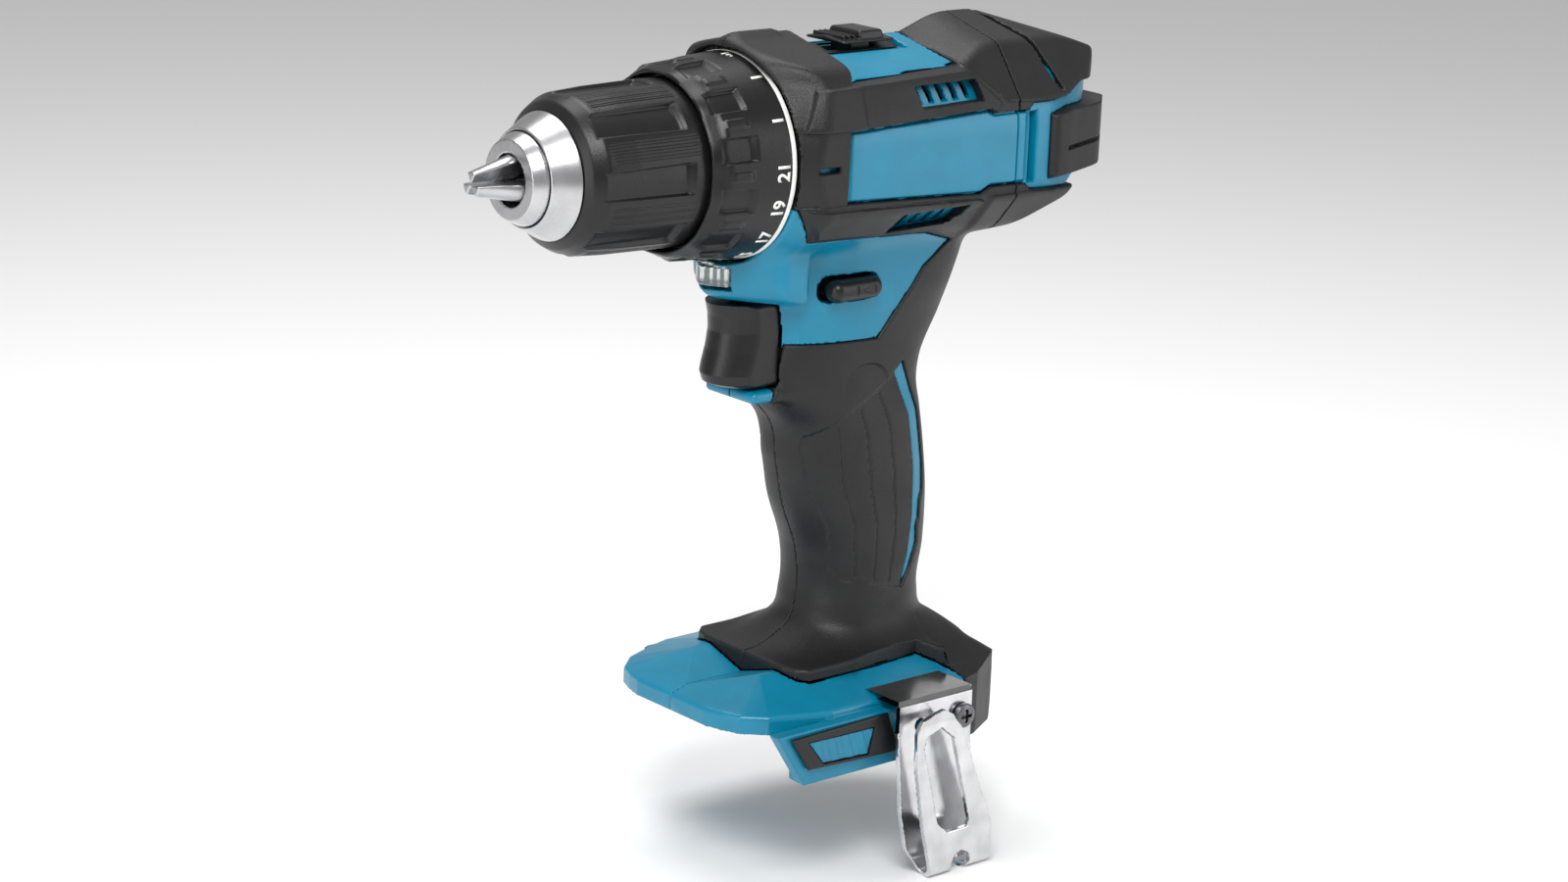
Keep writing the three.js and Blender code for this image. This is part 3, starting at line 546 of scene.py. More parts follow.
class Casing:
    """Fields of the moulded body: the teal shell and the black rubber moulded over it."""

    WALL = 2.4  # teal shell, below the rubber
    SKIN = 1.5  # rubber, below the teal level
    CHAMBER = 1.2  # how far the hollow starts beyond the wall
    COVER_FRONT = 33.0
    COVER_GAP = 0.15  # half the gap between the halves and the rear cover
    SEAM = 0.07  # half the gap between the two halves
    HEEL_FRONT = 17.5
    BAY_ROOF = -149.0
    RING_CLEARANCE = 28.3
    SCREW_HOLE = 3.6
    # x, height and depth of each housing screw's head.
    SCREWS = ((-37.5, -33.6, 12.5), (26.0, -36.0, 12.5), (14.0, -78.0, 12.5), (4.0, -128.0, 12.5),
              (34.0, -146.5, 26.0))

    # Height, front, rear, half width and squareness of the neck and handle.
    HANDLE = (
        (-140, -24.5, 36.0, 22.4, 2.6), (-138, -22.5, 33.5, 20.6, 2.5), (-133, -16.0, 27.6, 17.8, 2.4),
        (-126, -13.5, 25.4, 17.0, 2.4), (-112.6, -14.1, 27.1, 16.9, 2.4), (-98, -19.7, 27.7, 16.9, 2.4),
        (-86, -22.5, 26.3, 16.9, 2.4), (-74, -25.3, 24.1, 16.9, 2.4), (-66.4, -31.9, 22.8, 16.9, 2.4),
        (-60, -34.1, 23.3, 16.9, 2.5), (-47, -34.5, 29.6, 17.4, 2.6), (-38, -35.1, 32.9, 18.7, 2.7),
        (-30, -35.0, 35.5, 19.2, 2.8), (-14, -35.0, 36.0, 19.8, 3.0))
    FLANGE = ((-31.6, -5), (-31.6, 16.6), (-30.2, 20.7), (-27.4, 23.3), (-12, 23.4), (12.5, 22.2), (15.0, 26.5),
              (17.6, 33), (18.0, 36.8), (24, 35.4), (34.8, 29.6), (44.2, 20.4), (47.6, 12), (47.6, -5))
    PLATE = ((-56.5, -5), (-56.5, 14.4), (-55, 20), (-53, 25), (-47.2, 30.2), (-37, 34.2), (-30, 36.2), (17.9, 36.6),
             (30, 30.2), (39, 21), (43, 10), (43, -5))
    SKIRT = ((-52, -148), (-42, -163.4), (26, -163.4), (40, -158), (42, -148))
    UPPER = ((-60, 60), (-60, -9.7), (-27.6, -9.7), (-27, 9.3), (22, 11.0), (24.5, 9.7), (37, 9.7), (38.6, 11.4),
             (45.3, 11.4), (52, 12.3), (58.3, 15.2), (95, 14), (95, 60))
    TOP_PANEL = ((-20.5, 60), (-20.5, 27.5), (-24.4, 20.8), (16.4, 22.2), (15.4, 28), (15.4, 60))
    BAR = ((-36, 20.3), (15.6, 21.9), (26.6, 12.6), (24.5, 9.7), (22, 11.0), (-27, 9.3), (-41.6, 9.3))
    LOW_BAR = ((-40.4, -10.6), (19.6, -12.6), (22.6, -14.0), (9.0, -21.6), (-33.6, -19.6), (-39.0, -12.4))
    CAP = ((15.4, 60), (15.4, 26), (17.6, 21.4), (29.2, 12.0), (45.3, 11.4), (52, 12.3), (58.3, 15.2),
           (95, 14), (95, 60))
    LOWER = ((-60, -9.7), (-27, -9.5), (20, -11.6), (23.5, -9.9), (36, -10.2), (38.6, -12), (57.6, -13), (95, -13),
             (95, -190), (-70, -190), (-70, -70), (-33.5, -67), (-31.5, -60), (-29.7, -50.7), (-1.9, -51.1),
             (12.3, -32.5), (22, -26.3), (8.9, -22.3), (-34.7, -20.2), (-40.6, -10.3), (-60, -10.3))
    BAND = ((45.4, 7.9), (52, 9.2), (95, 8.2), (95, -9.6), (45.4, -9.7))
    WINDOW = ((-26.4, 8.7), (21.8, 10.4), (24.2, 9.1), (36.2, 9.1), (36.2, -9.6), (23.6, -9.3),
              (20.2, -11.0), (-26.4, -8.9))
    STRIP = ((5.4, -61.7), (12.5, -75), (15.2, -90), (14.9, -105), (13.4, -115), (11.2, -123.6), (14.4, -119),
             (17.5, -112), (17.2, -107.5), (18.3, -105.4), (18.6, -100.5), (20.2, -98), (20.4, -90),
             (17.6, -75), (8.8, -59.1))
    PANEL = ((4.4, -62.7), (-8, -69.6), (-20.5, -77.7), (-20.9, -81), (-18.5, -92), (-12.5, -104), (-10.6, -111),
             (-10.3, -116), (-8, -119.4), (11.7, -123.4), (14.3, -105), (14.7, -90), (11.9, -75))
    PANEL_LEFT = ((-123, -9.0), (-114, -10.4), (-104, -12.5), (-92, -18.5), (-78, -20.5), (-62, -26.0))
    PANEL_RIGHT = ((-122, 11.6), (-105, 15.0), (-90, 15.3), (-75, 12.5), (-62, 5.4))

    def __init__(self) -> None:
        """Prepares the outlines that are read many times."""
        for name in ("upper", "lower", "top_panel", "bar", "low_bar", "cap", "band", "window", "strip", "panel",
                     "flange", "plate", "skirt"):
            setattr(self, name, Stencil(getattr(self, name.upper())))
        self.keys = [row[0] for row in self.HANDLE]
        self.columns = list(zip(*self.HANDLE))[1:]

    @staticmethod
    def barrel(x: Array, w: Array, z: Array) -> Array:
        """Motor barrel at the teal level, faceted along its length."""
        flat = rounded_all((
            w - 30.4, 0.943 * w + 0.332 * z - 31.9, 0.606 * w + 0.795 * z - 32.3, 0.24 * w + 0.971 * z - 27.2,
            0.767 * w - 0.6416 * z - 31.0, 0.351 * w - 0.936 * z - 28.8, -z - 25.6,
            0.344 * x + 0.939 * z - 43.4, 0.347 * x + 0.938 * w - 44.9, 0.69 * x + 0.723 * w - 60.8, x - 78.4,
            0.523 * x - 0.853 * z - 40.4, 0.148 * x - 0.989 * z - 28.6, -x - 41.8), 1.8)
        front = 0.88 * (np.hypot(w, z) - 28.0 - 0.55 * (x + 41.8))
        return smooth_max(flat, front, 1.0)

    @staticmethod
    def cap_block(x: Array, y: Array, z: Array) -> Array:
        """Raised rear block on top of the barrel, with a pointed front ramp."""
        w = np.abs(y)
        near = -0.3255 * x + 0.2472 * w + 0.9127 * z - 20.54
        far = -0.300 * x + 0.449 * w + 0.841 * z - 18.93
        return rounded_all((
            np.where(y < 0, near, far), 0.27 * w + 0.963 * z - 31.4, 0.806 * w + 0.591 * z - 32.4, w - 31.7,
            0.344 * x + 0.939 * z - 45.4, 0.347 * x + 0.938 * w - 47.1, 0.69 * x + 0.723 * w - 62.7, x - 80.6,
            0.523 * x - 0.853 * z - 42.4), 1.5)

    @staticmethod
    def bumper(x: Array, w: Array, z: Array) -> Array:
        """Rear bumper with a slanted front facet."""
        return rounded_all((0.347 * x + 0.938 * w - 47.6, 0.69 * x + 0.723 * w - 66.3, x - 80.9,
                            -0.55 * x + 0.835 * w - 1.1, w - 32.4), 1.2)

    def handle(self, x: Array, w: Array, z: Array) -> Array:
        """Neck and handle at the teal level."""
        front, rear, half, power = (curve(z, self.keys, column) for column in self.columns)
        centre, depth = (front + rear) / 2, (rear - front) / 2 - 0.8
        half = half - 0.8
        dx, dw = np.abs(x - centre) + 1e-3, w + 1e-3
        share = ((dx / depth) ** power + (dw / half) ** power) ** (1.0 / power)
        return np.hypot(dx, dw) * (1.0 - 1.0 / np.maximum(share, 1e-3))

    def nose(self, x: Array, w: Array, z: Array) -> Array:
        """Block under the chuck that carries the lamp."""
        bow = nose_bow(w)
        chin = rounded_all((w - 18.6, 0.8 * (bow - x - 50.8), -0.62 * x - 0.785 * z - 58.8 + 0.6 * bow, -z - 38.6,
                            z + 14.0, x + 28.0), 2.6)
        return smooth_max(chin, np.where(x < -41.8, self.RING_CLEARANCE - np.hypot(w, z), -FAR), 0.8)

    def body(self, x: Array, w: Array, z: Array) -> Array:
        """Whole teal-level body above the foot."""
        tall = rounded_all((self.handle(x, w, z), z + 12.0, -z - 150.0), 1.0)
        both = smooth_min(self.barrel(x, w, z), tall, 5.0)
        both = smooth_min(both, self.nose(x, w, z), 3.0)
        lip = block(x, w, z, (-39.6, -12.0, -66.2), (-26.0, 10.4, -62.9), 1.4)
        return smooth_min(both, lip, 2.5)

    def regions(self, x: Array, w: Array, z: Array) -> Array:
        """Negative where the black rubber covers the body."""
        upper = np.maximum(self.upper(x, z), -self.top_panel(x, z))
        lower = np.maximum(self.lower(x, z), -self.strip(x, z))
        return np.minimum(np.minimum(upper, lower), self.band(x, z))

    def proud(self, x: Array, w: Array, z: Array) -> Array:
        """How far the rubber stands above the teal level."""
        collar = ramp((-21.5 - x) / 2.0) * (0.5 * ramp((z - 9.0) / 2.0) + 1.9 * ramp((z - 20.0) / 7.0))
        peak = 0.9 * ramp((-26.0 - x) / 4.0) * ramp((5.0 - w) / 5.0) * ramp((z - 20.0) / 4.0)
        bars = 0.9 * ramp(-self.bar(x, z) / 0.5) + 0.9 * ramp(-self.low_bar(x, z) / 0.5)
        low = 0.9 * ramp((x - 22.0) / 3.0) * ramp((-z - 12.0) / 1.0) * ramp((z + 32.0) / 12.0)
        return 0.7 + collar + peak + bars + low

    def vents(self, x: Array, w: Array, z: Array) -> tuple[Array, Array]:
        """Recess of the cooling openings and the slots between their louvres.

        Args:
            x: distance to the rear.
            w: distance from the middle plane.
            z: height.

        Returns:
            Field of the recess outline and field of the slots, both cut through the side.
        """
        upper = np.maximum(slab(x + 0.30 * (z - 16.0), -3.2, 19.0), slab(z - 0.022 * x, 13.2, 18.9))
        lower = np.maximum(slab(x - 0.45 * (z + 16.5), -8.0, 15.5), slab(z - 0.02 * x, -19.6, -14.4))
        recess = np.maximum(np.minimum(upper, lower), 18.0 - w)
        lean = np.where(z > 0, -0.32 * (z - 16.0), 0.55 * (z + 17.0))
        wave = np.abs(((x - lean + 1.2) % 4.4) - 2.2)
        slots = np.maximum(recess + 0.5, 1.25 - wave)
        return recess, slots

    def openings(self, x: Array, w: Array, z: Array) -> Array:
        """Everything cut clean through shell and rubber: negative in the openings."""
        bore = np.maximum(np.hypot(w, z) - 23.3, x + 20.0)
        trigger = block(x, w, z, (-62.0, -20.0, -62.7), (-20.0, 9.7, -39.0), 1.0)
        lever = block(x, w, z, (-23.2, -4.0, -39.4), (-3.8, 40.0, -32.0), 3.2)
        lens = block(x, w, z, (-70.0, -9.0, -35.0), (-43.6, 7.1, -28.5), 0.6)
        knob = block(x, w, z, (-14.4, -9.0, 20.0), (3.2, 5.2, 34.0), 0.6)
        bed = block(x, w, z, (-20.9, -20.0, 24.9), (10.5, 9.3, 40.0), 0.6)
        bay = block(x, w, z, (-24.4, -30.0, -160.0), (30.4, 23.4, -146.0), 0.2)
        return np.minimum.reduce([bore, trigger, lever, lens, knob, bed, bay])

    def screw_holes(self, x: Array, y: Array, z: Array) -> Array:
        """Counterbores for the housing screws, on the right side only."""
        holes = [np.maximum(np.hypot(x - at, z - up) - self.SCREW_HOLE, head - 0.3 - y)
                 for at, up, head in self.SCREWS]
        return np.minimum.reduce(holes)

    def core(self, x: Array, y: Array, z: Array) -> Array:
        """Foot plate with its skirts, at the teal level."""
        w = np.abs(y)
        inset = -self.plate(x, w)
        top = np.minimum(-146.0 + 0.30 * inset, -140.4)
        plate = np.maximum(smooth_max(-inset, z - top, 1.2), -z - 151.0)
        shorter = np.where(y > 0.0, -33.0 - x - 0.4 * (z + 150.0), -FAR)
        skirt = rounded_all((self.skirt(x, z), 35.6 - w, w - 39.5, x - 17.9), 0.6)
        rail = block(x, w, z, (-42.0, 32.8, -163.4), (17.9, 36.2, -160.2), 0.3)
        skirt = np.maximum(np.minimum(skirt, rail), shorter)
        back = block(x, w, z, (38.6, -30.0, -162.0), (43.0, 16.0, -147.0), 0.6)
        return np.minimum.reduce([plate, skirt, back])

    def pad(self, x: Array, w: Array, z: Array) -> Array:
        """Black flange round the handle's root, with the heel behind it."""
        outline = self.flange(x, w)
        rise = z + 138.6
        sheet = rounded_all((outline, rise, -z - 147.5), 1.2)
        slope = rounded_all((rise, 0.35 * w + 0.937 * z + 123.8, 0.70 * x + 0.714 * z + 76.4), 3.0)
        heel = rounded_all((outline, slope, 18.2 - x, -z - 164.2), 1.6)
        bay = block(x, w, z, (-80.0, -40.0, -190.0), (37.6, 26.5, -151.2), 0.3)
        return np.minimum(np.maximum(sheet, np.where(x > 17.0, slope, -FAR)), np.maximum(heel, -bay))


class Shell(Casing):
    """Solid fields of the separate mouldings."""

    def detail(self, x: Array, w: Array, z: Array, value: Array) -> Array:
        """Adds the teal shell's grooves and steps to a field."""
        window = self.window(x, z)
        side = ramp((w - 20.0) / 4.0)
        edge = 0.9 * np.exp(-((window - 0.3) / 0.35) ** 2) * side
        slot = np.maximum(slab(x, 37.2, 40.4), slab(z, -10.6, 9.4))
        slope = 3.2 * ramp(-slot / 1.0) * side
        return value + edge + slope

    def teal(self, x: Array, y: Array, z: Array) -> Array:
        """Teal shell of either half, hollow inside."""
        w = np.abs(y)
        body, region = self.body(x, w, z), self.regions(x, w, z)
        outer = self.detail(x, w, z, body)
        outer = np.maximum(outer, np.minimum(body + 1.8, 0.08 - region))
        hollow = np.maximum(body + self.WALL + self.CHAMBER, -z - 139.0)
        shell = np.maximum(outer, -hollow)
        recess, slots = self.vents(x, w, z)
        shell = np.maximum(shell, -np.maximum(recess - 0.2, -(body + 1.6)))
        shell = np.maximum(shell, -slots)
        foot = np.maximum(self.core(x, y, z), 0.15 - self.pad(x, w, z))
        well = np.maximum(self.handle(x, w, z) + self.WALL + self.CHAMBER, self.BAY_ROOF - z)
        foot = np.maximum(foot, -well)
        cuts = np.minimum(self.openings(x, w, z), self.screw_holes(x, y, z))
        return np.maximum(np.minimum(shell, foot), -cuts)

    def rubber(self, x: Array, y: Array, z: Array) -> Array:
        """Black rubber moulded over the shell."""
        w = np.abs(y)
        body, region = self.body(x, w, z), self.regions(x, w, z)
        outer = body - self.proud(x, w, z)
        outer += (self.cap_block(x, y, z) - outer) * ramp(-self.cap(x, z) / 0.7)
        outer += (self.bumper(x, w, z) - outer) * ramp(-self.band(x, z) / 0.7)
        outer += self.relief(x, w, z)
        skin = np.maximum(smooth_max(outer, region, 0.9), -(body + self.SKIN))
        skin = np.maximum(skin, -138.6 - z)
        skin = np.maximum(skin, np.where(x < -41.7, self.RING_CLEARANCE - np.hypot(w, z), -FAR))
        recess, _ = self.vents(x, w, z)
        skin = np.maximum(skin, -recess)
        notch = np.maximum(np.abs(z + 0.1) - 0.75, slab(x, -37.5, -30.5))
        skin = np.maximum(skin, -np.maximum(notch, 20.0 - w))
        clear = 0.1 - self.core(x, y, z)
        pad = np.maximum(self.pad(x, w, z), np.where(x < self.HEEL_FRONT, clear, -FAR))
        joined = smooth_min(skin, pad, 7.0)
        joined = np.maximum(joined, np.where((z < -136.0) & (x < self.HEEL_FRONT), clear, -FAR))
        joined = np.maximum(joined, np.where(z < -134.0, self.flange(x, w), -FAR))
        hollow = np.maximum(self.handle(x, w, z) + self.SKIN, self.BAY_ROOF - z)
        joined = np.maximum(joined, np.where(z < -60.0, -hollow, -FAR))
        cuts = np.minimum(self.openings(x, w, z), self.screw_holes(x, y, z))
        return np.maximum(joined, -cuts)

    def relief(self, x: Array, w: Array, z: Array) -> Array:
        """Panel, grooves and thumb rest on the handle, and the grooves of the rear cap."""
        side = ramp((w - 6.0) / 3.0)
        panel = self.panel(x, z)
        depth = 0.4 * ramp(-panel / 0.5)
        left, right = table(z, self.PANEL_LEFT), table(z, self.PANEL_RIGHT)
        across = (x - left) / np.maximum(right - left, 1.0) * 4.0
        spacing = (right - left) / 4.0
        groove = np.abs(across - np.round(across)) * spacing
        lines = 0.35 * np.exp(-(groove / 0.28) ** 2) * ramp((-panel - 0.8) / 0.6)
        border = 0.3 * np.exp(-(panel / 0.3) ** 2)
        thumb_at = np.hypot((x + 5.0) / 1.15, z + 65.0)
        thumb = 0.9 * ramp((7.6 - thumb_at) / 1.0) * ramp((z + 67.0) / 9.0)
        ridge = np.abs(0.94 * (x - 47.4) + 0.34 * (z - 20.0))
        gap = 1.6 * np.exp(-(ridge / 0.75) ** 4) * ramp((z - 13.6) / 0.6)
        stripe = 2.0 * ramp((0.62 - np.abs(z + 1.8)) / 0.2) * ramp((x - 51.0) / 0.4)
        return (depth + lines + border + thumb) * side + gap + stripe

    def half(self, shape: Field, side: int) -> Field:
        """One half of a moulding: the left for side 1, the right for side -1."""
        def cut_half(x: Array, y: Array, z: Array) -> Array:
            value = np.maximum(shape(x, y, z), side * y + self.SEAM)
            below = np.where(z > -27.0, x - self.COVER_FRONT + self.COVER_GAP, x - 60.0)
            return np.maximum(value, below)
        return cut_half

    def cover(self, shape: Field) -> Field:
        """The part of a moulding that belongs to the rear cover."""
        def cut_cover(x: Array, y: Array, z: Array) -> Array:
            behind = np.maximum(self.COVER_FRONT + self.COVER_GAP - x, -26.8 - z)
            return np.maximum(shape(x, y, z), behind)
        return cut_cover


# ---------------------------------------------------------------------------
# Smaller parts
# ---------------------------------------------------------------------------
JAW_TILT = math.radians(15.5)
SLEEVE_SKIN = ((-102, 16.6), (-100.5, 18.8), (-97, 20.8), (-88, 21.4), (-63.8, 22.0))
RING_SKIN = ((-67, 24.1), (-63, 25.8), (-42.3, 27.3))


def jaw_height(x: Array) -> Array:
    """Height of the top jaw's own axis at x."""
    return 3.079 + (x + 113.1) * math.tan(JAW_TILT)


def turned_back(y: Array, z: Array, degrees: float) -> tuple[Array, Array]:
    """Coordinates seen by a part that has been turned about the spindle."""
    c, s = math.cos(math.radians(degrees)), math.sin(math.radians(degrees))
    return c * y + s * z, -s * y + c * z


def jaw_rod(x: Array, y: Array, z: Array, radius: float) -> Array:
    """Endless rod along the top jaw's axis."""
    return np.hypot(y, (z - jaw_height(x)) * math.cos(JAW_TILT)) - radius


class SmallParts:
    """Fields of the trigger, lever, knob, lamp, clip, badges, jaws and chuck."""

    BADGE_SHIFT = 18.5  # how much shorter the right badge is at its front

    def __init__(self) -> None:
        """Prepares the flat outlines."""
        self.trigger_side = Stencil((
            (-46.6, -39.4), (-45.7, -43), (-45.4, -47.2), (-46.2, -52), (-47.4, -56.2), (-47.9, -58.6),
            (-47.0, -61.0), (-44.6, -62.0), (-29.8, -62.0), (-29.8, -39.4)))
        self.body_section = Stencil((
            (-113.1, 6.75), (-113.1, 10.2), (-109.8, 11.9), (-98.2, 11.9), (-97.6, 15.4), (-90.7, 15.4),
            (-90.7, 12.6), (-82.3, 12.6), (-82.3, 15.4), (-66.4, 15.4), (-66.4, 19), (-62.6, 19),
            (-62.6, 6.35), (-90.0, 6.35), (-90.0, 6.75)))
        self.tongue = Stencil((
            (-10.6, -148.6), (-7.1, -147.0), (-3.5, -146.1), (0.2, -148.3), (4.1, -152.7), (11.4, -169.6),
            (18.3, -185.8), (18.7, -190.3), (18.0, -200), (-3.4, -200), (-5.2, -191.8), (-8.5, -179.6),
            (-11.8, -161.9), (-12.2, -152.0)))
        self.back_leg = Stencil((
            (-14.6, -140), (-14.6, -146.6), (-11.8, -176.7), (-9.4, -187.2), (-5.0, -193.0), (-2.0, -200),
            (18.4, -200), (18.4, -187), (15.2, -172), (13.0, -160), (12.9, -140)))
        self.clip_slot = Stencil((
            (-9.3, -156.9), (-8.4, -153.4), (-3.2, -151.8), (1.4, -155.5), (8.7, -180.7), (8.1, -182.6),
            (0.7, -182.6), (-3.1, -179.4)))
        self.badge_side = Stencil(((-48.2, -149), (-41.8, -158.7), (-9, -160), (-14.0, -148.2)))
        self.badge_inset = Stencil(((-42.4, -150.8), (-18.8, -151.2), (-20.6, -158.6), (-36.8, -157.9)))

    def trigger(self, x: Array, y: Array, z: Array) -> Array:
        """Trigger with a concave finger face between two soft ridges."""
        w = np.abs(y)
        back = 0.075 * np.minimum(w, 6.6) ** 2 + 1.5 * np.maximum(w - 6.6, 0.0)
        outline = self.trigger_side(x - back * ramp((-30.0 - x) / 3.0), z) * 0.72
        grip = rounded_all((outline, w - 9.1), 1.4)
        stem = np.maximum(np.hypot(y, z + 51.0) - 2.9, slab(x, -31.0, -14.0))
        return np.minimum(np.maximum(grip, x + 30.0), stem)

    @staticmethod
    def lever(x: Array, y: Array, z: Array) -> Array:
        """Direction lever: a bar through the neck with a rounded pad at each end."""
        w = np.abs(y)
        bar = block(x, y, z, (-19, -18.0, -38.4), (-8, 18.0, -33.0), 0.8)
        pad = block(x, w, z, (-22.2, 15.6, -38.6), (-4.8, 22.0, -32.8), 2.6)
        arrow = np.maximum(np.abs(z + 35.7) - 0.35 * (x + 13.0), slab(x, -13.0, -8.2))
        mark = np.maximum(arrow, 21.75 - w)
        groove = np.maximum(np.abs(x + 14.6) - 0.35, 21.7 - w)
        return np.maximum(np.maximum(np.minimum(bar, pad), -mark), -groove)

    @staticmethod
    def knob(x: Array, y: Array, z: Array) -> Array:
        """Speed knob: a sloping pad with a tall gripping ridge."""
        w = np.abs(y)
        pad = rounded_all((slab(x, -10.8, 7.4), w - 7.9, 27.4 - z, 0.1 * w + z - 28.9), 0.7)
        ridge = rounded_all((slab(x, -4.0, 4.6), w - 6.6 + 0.3 * (z - 28.0), z - 30.4, 27.5 - z,
                             0.5 * z - 0.87 * (x + 4.0) - 14.9, 0.5 * z + 0.87 * (x - 4.6) - 15.0), 0.7)
        steps = np.minimum.reduce([block(x, y, z, (a, -6.2, 28.0), (a + 0.9, 6.2, 29.4), 0.3)
                                   for a in (-9.6, -7.8, -6.0)])
        stem = block(x, y, z, (-5.0, -4.0, 23.6), (1.8, 4.0, 28.4), 0.3)
        return np.minimum.reduce([pad, ridge, steps, stem])

    @staticmethod
    def knob_track(x: Array, y: Array, z: Array) -> Array:
        """Dark bed in which the knob slides, with a slot for its stem."""
        w = np.abs(y)
        bed = rounded_all((slab(x, -20.6, 10.2), w - 9.0, 25.2 - z, 0.24 * w + 0.971 * z - 26.3), 0.5)
        slot = block(x, w, z, (-14.0, -9.0, 20.0), (2.8, 5.0, 40.0), 0.5)
        return np.maximum(bed, -slot)

    @staticmethod
    def lens(x: Array, y: Array, z: Array) -> Array:
        """Lamp lens, ribbed on the back."""
        w = np.abs(y)
        bow = nose_bow(w)
        ribs = 0.2 * np.cos(y * 2.4)
        return rounded_all((0.8 * (bow - x - 50.7), x + 45.7 + ribs, w - 6.6, slab(z, -33.9, -28.9)), 0.5)

    def clip(self, x: Array, y: Array, z: Array) -> Array:
        """Belt clip bent from one strip of spring steel."""
        sheet, thick = 1.5, 0.75
        back_y, tongue_y, bottom = -43.6 - thick, -50.8 + thick, -195.0
        bend = (back_y - tongue_y) / 2
        mid = (back_y + tongue_y) / 2
        arc = np.abs(np.hypot(y - mid, z - (bottom + bend)) - bend)
        straight_back = np.abs(y - back_y)
        lean = np.where(z > -150.0, -(z + 150.0) * 0.30, 0.0)
        front = np.abs(y - tongue_y - lean) / np.where(z > -150.0, 1.05, 1.0)
        below = z < bottom + bend
        legs = np.minimum(np.where(z > -145.6, 9.0, straight_back), front)
        leg = np.where(below, arc, legs)
        top = np.maximum(np.abs(z + 144.95), np.maximum(back_y - y - 0.4, y + 31.8))
        plate = np.minimum(leg, np.where(y > back_y - 0.4, top, 9.0)) - sheet / 2
        hugging = y < mid
        body = np.maximum(plate, np.where(hugging, self.tongue(x, z), self.back_leg(x, z)))
        body = np.maximum(body, np.where(hugging, -self.clip_slot(x, z), -9.0))
        notch = np.hypot(x - 6.4, z + 192.9) - 3.4
        body = np.maximum(body, -np.where(z < -180, notch, 9.0))
        hole = np.hypot(x - 9.0, z + 152.0) - 1.9
        spare = np.hypot(x + 6.0, z + 152.0) - 1.9
        return np.maximum(body, -np.where(y > -47, np.minimum(hole, spare), 9.0))

    @staticmethod
    def clip_screw(x: Array, y: Array, z: Array) -> Array:
        """Domed screw with a cross recess."""
        r = np.hypot(x - 9.0, z + 152.0)
        dome = rounded_all((r - 3.4, y + 45.35, -(y + 47.3) + 0.055 * r * r - 0.3), 0.4)
        shank = np.maximum(r - 1.5, slab(y, -46.0, -37.4))
        u, v = np.abs(x - 9.0), np.abs(z + 152.0)
        cross = np.maximum(np.minimum(np.maximum(u - 1.9, v - 0.45), np.maximum(v - 1.9, u - 0.45)), y + 46.1)
        return np.maximum(np.minimum(dome, shank), -cross)

    def badge_place(self, x: Array, y: Array) -> Array:
        """Place along the left badge that answers to x on either side."""
        return x - np.where(y < 0, 0.0, self.BADGE_SHIFT) * ramp((-12.0 - x) / 30.0)

    def badge(self, x: Array, y: Array, z: Array) -> Array:
        """Black frame on the side of the foot, shorter on the right."""
        w, along = np.abs(y), self.badge_place(x, y)
        plate = rounded_all((self.badge_side(along, z), w - 41.0, 39.8 - w), 0.6)
        return np.maximum(plate, -np.maximum(self.badge_inset(along, z), 40.2 - w))

    def badge_panel(self, x: Array, y: Array, z: Array) -> Array:
        """Teal panel set in the badge frame, with a raised slanted bar pattern."""
        w = np.abs(y)
        bars = 0.22 * ramp((np.abs(((x + 0.35 * z) % 5.0) - 2.5) - 1.2) / 0.25)
        inset = self.badge_inset(self.badge_place(x, y), z)
        return rounded_all((inset + 0.25, w - 40.75 + bars, 40.25 - w), 0.2)

    @staticmethod
    def jaw(x: Array, y: Array, z: Array) -> Array:
        """Top jaw: a tilted rod cut to a wedge, with a flat gripping edge."""
        bar = jaw_rod(x, y, z, 3.2)
        wedge = np.maximum(0.5 * np.abs(y) * 1.7320508 - 0.5 * (z - 0.2), 0.2 - z)
        ends = slab(x, -124.6, -91.8)
        teeth = 0.16 * np.abs(((x * 1.6) % 1.0) - 0.5) * ramp((1.2 - z) / 0.4)
        return rounded_all((bar, wedge + teeth, ends), 0.35)

    def chuck_body(self, x: Array, y: Array, z: Array) -> Array:
        """Turned chuck body with the three jaw ways."""
        ways = []
        for degrees in (0.0, 120.0, 240.0):
            u, v = turned_back(y, z, degrees)
            ways.append(np.maximum(jaw_rod(x, u, v, 3.45), slab(x, -121.0, -67.8)))
        return np.maximum(self.body_section(x, np.hypot(y, z)), -np.minimum.reduce(ways))


def sleeve_relief(x: Array, angle: Array, r: Array) -> Array:
    """Flutes, raised strips and fine grip lines of the chuck sleeve."""
    outside = r > np.where(x > -98.0, 20.0, 16.3)
    degrees = np.degrees(angle)
    across = (degrees / 45.0 + 0.5) % 1.0 * 45.0 - 22.5
    half_width = 11.6 + 0.05 * (x + 72.0)
    flute = ramp((half_width - np.abs(across)) / 1.6) * ramp((-71.0 - x) / 1.4)
    floor = np.minimum(0.0, 20.15 + 0.012 * (x + 97.0) - r)
    land = np.abs(np.abs(across) - 22.5)
    line = 0.30 * ramp((0.42 - np.abs((land + 1.1) % 2.2 - 1.1)) / 0.5) * (land < 8.0)
    lines = line * ramp((x + 96.0) / 0.8) * ramp((-69.0 - x) / 0.8)
    return np.where(outside, flute * floor - lines * (1.0 - flute), 0.0)


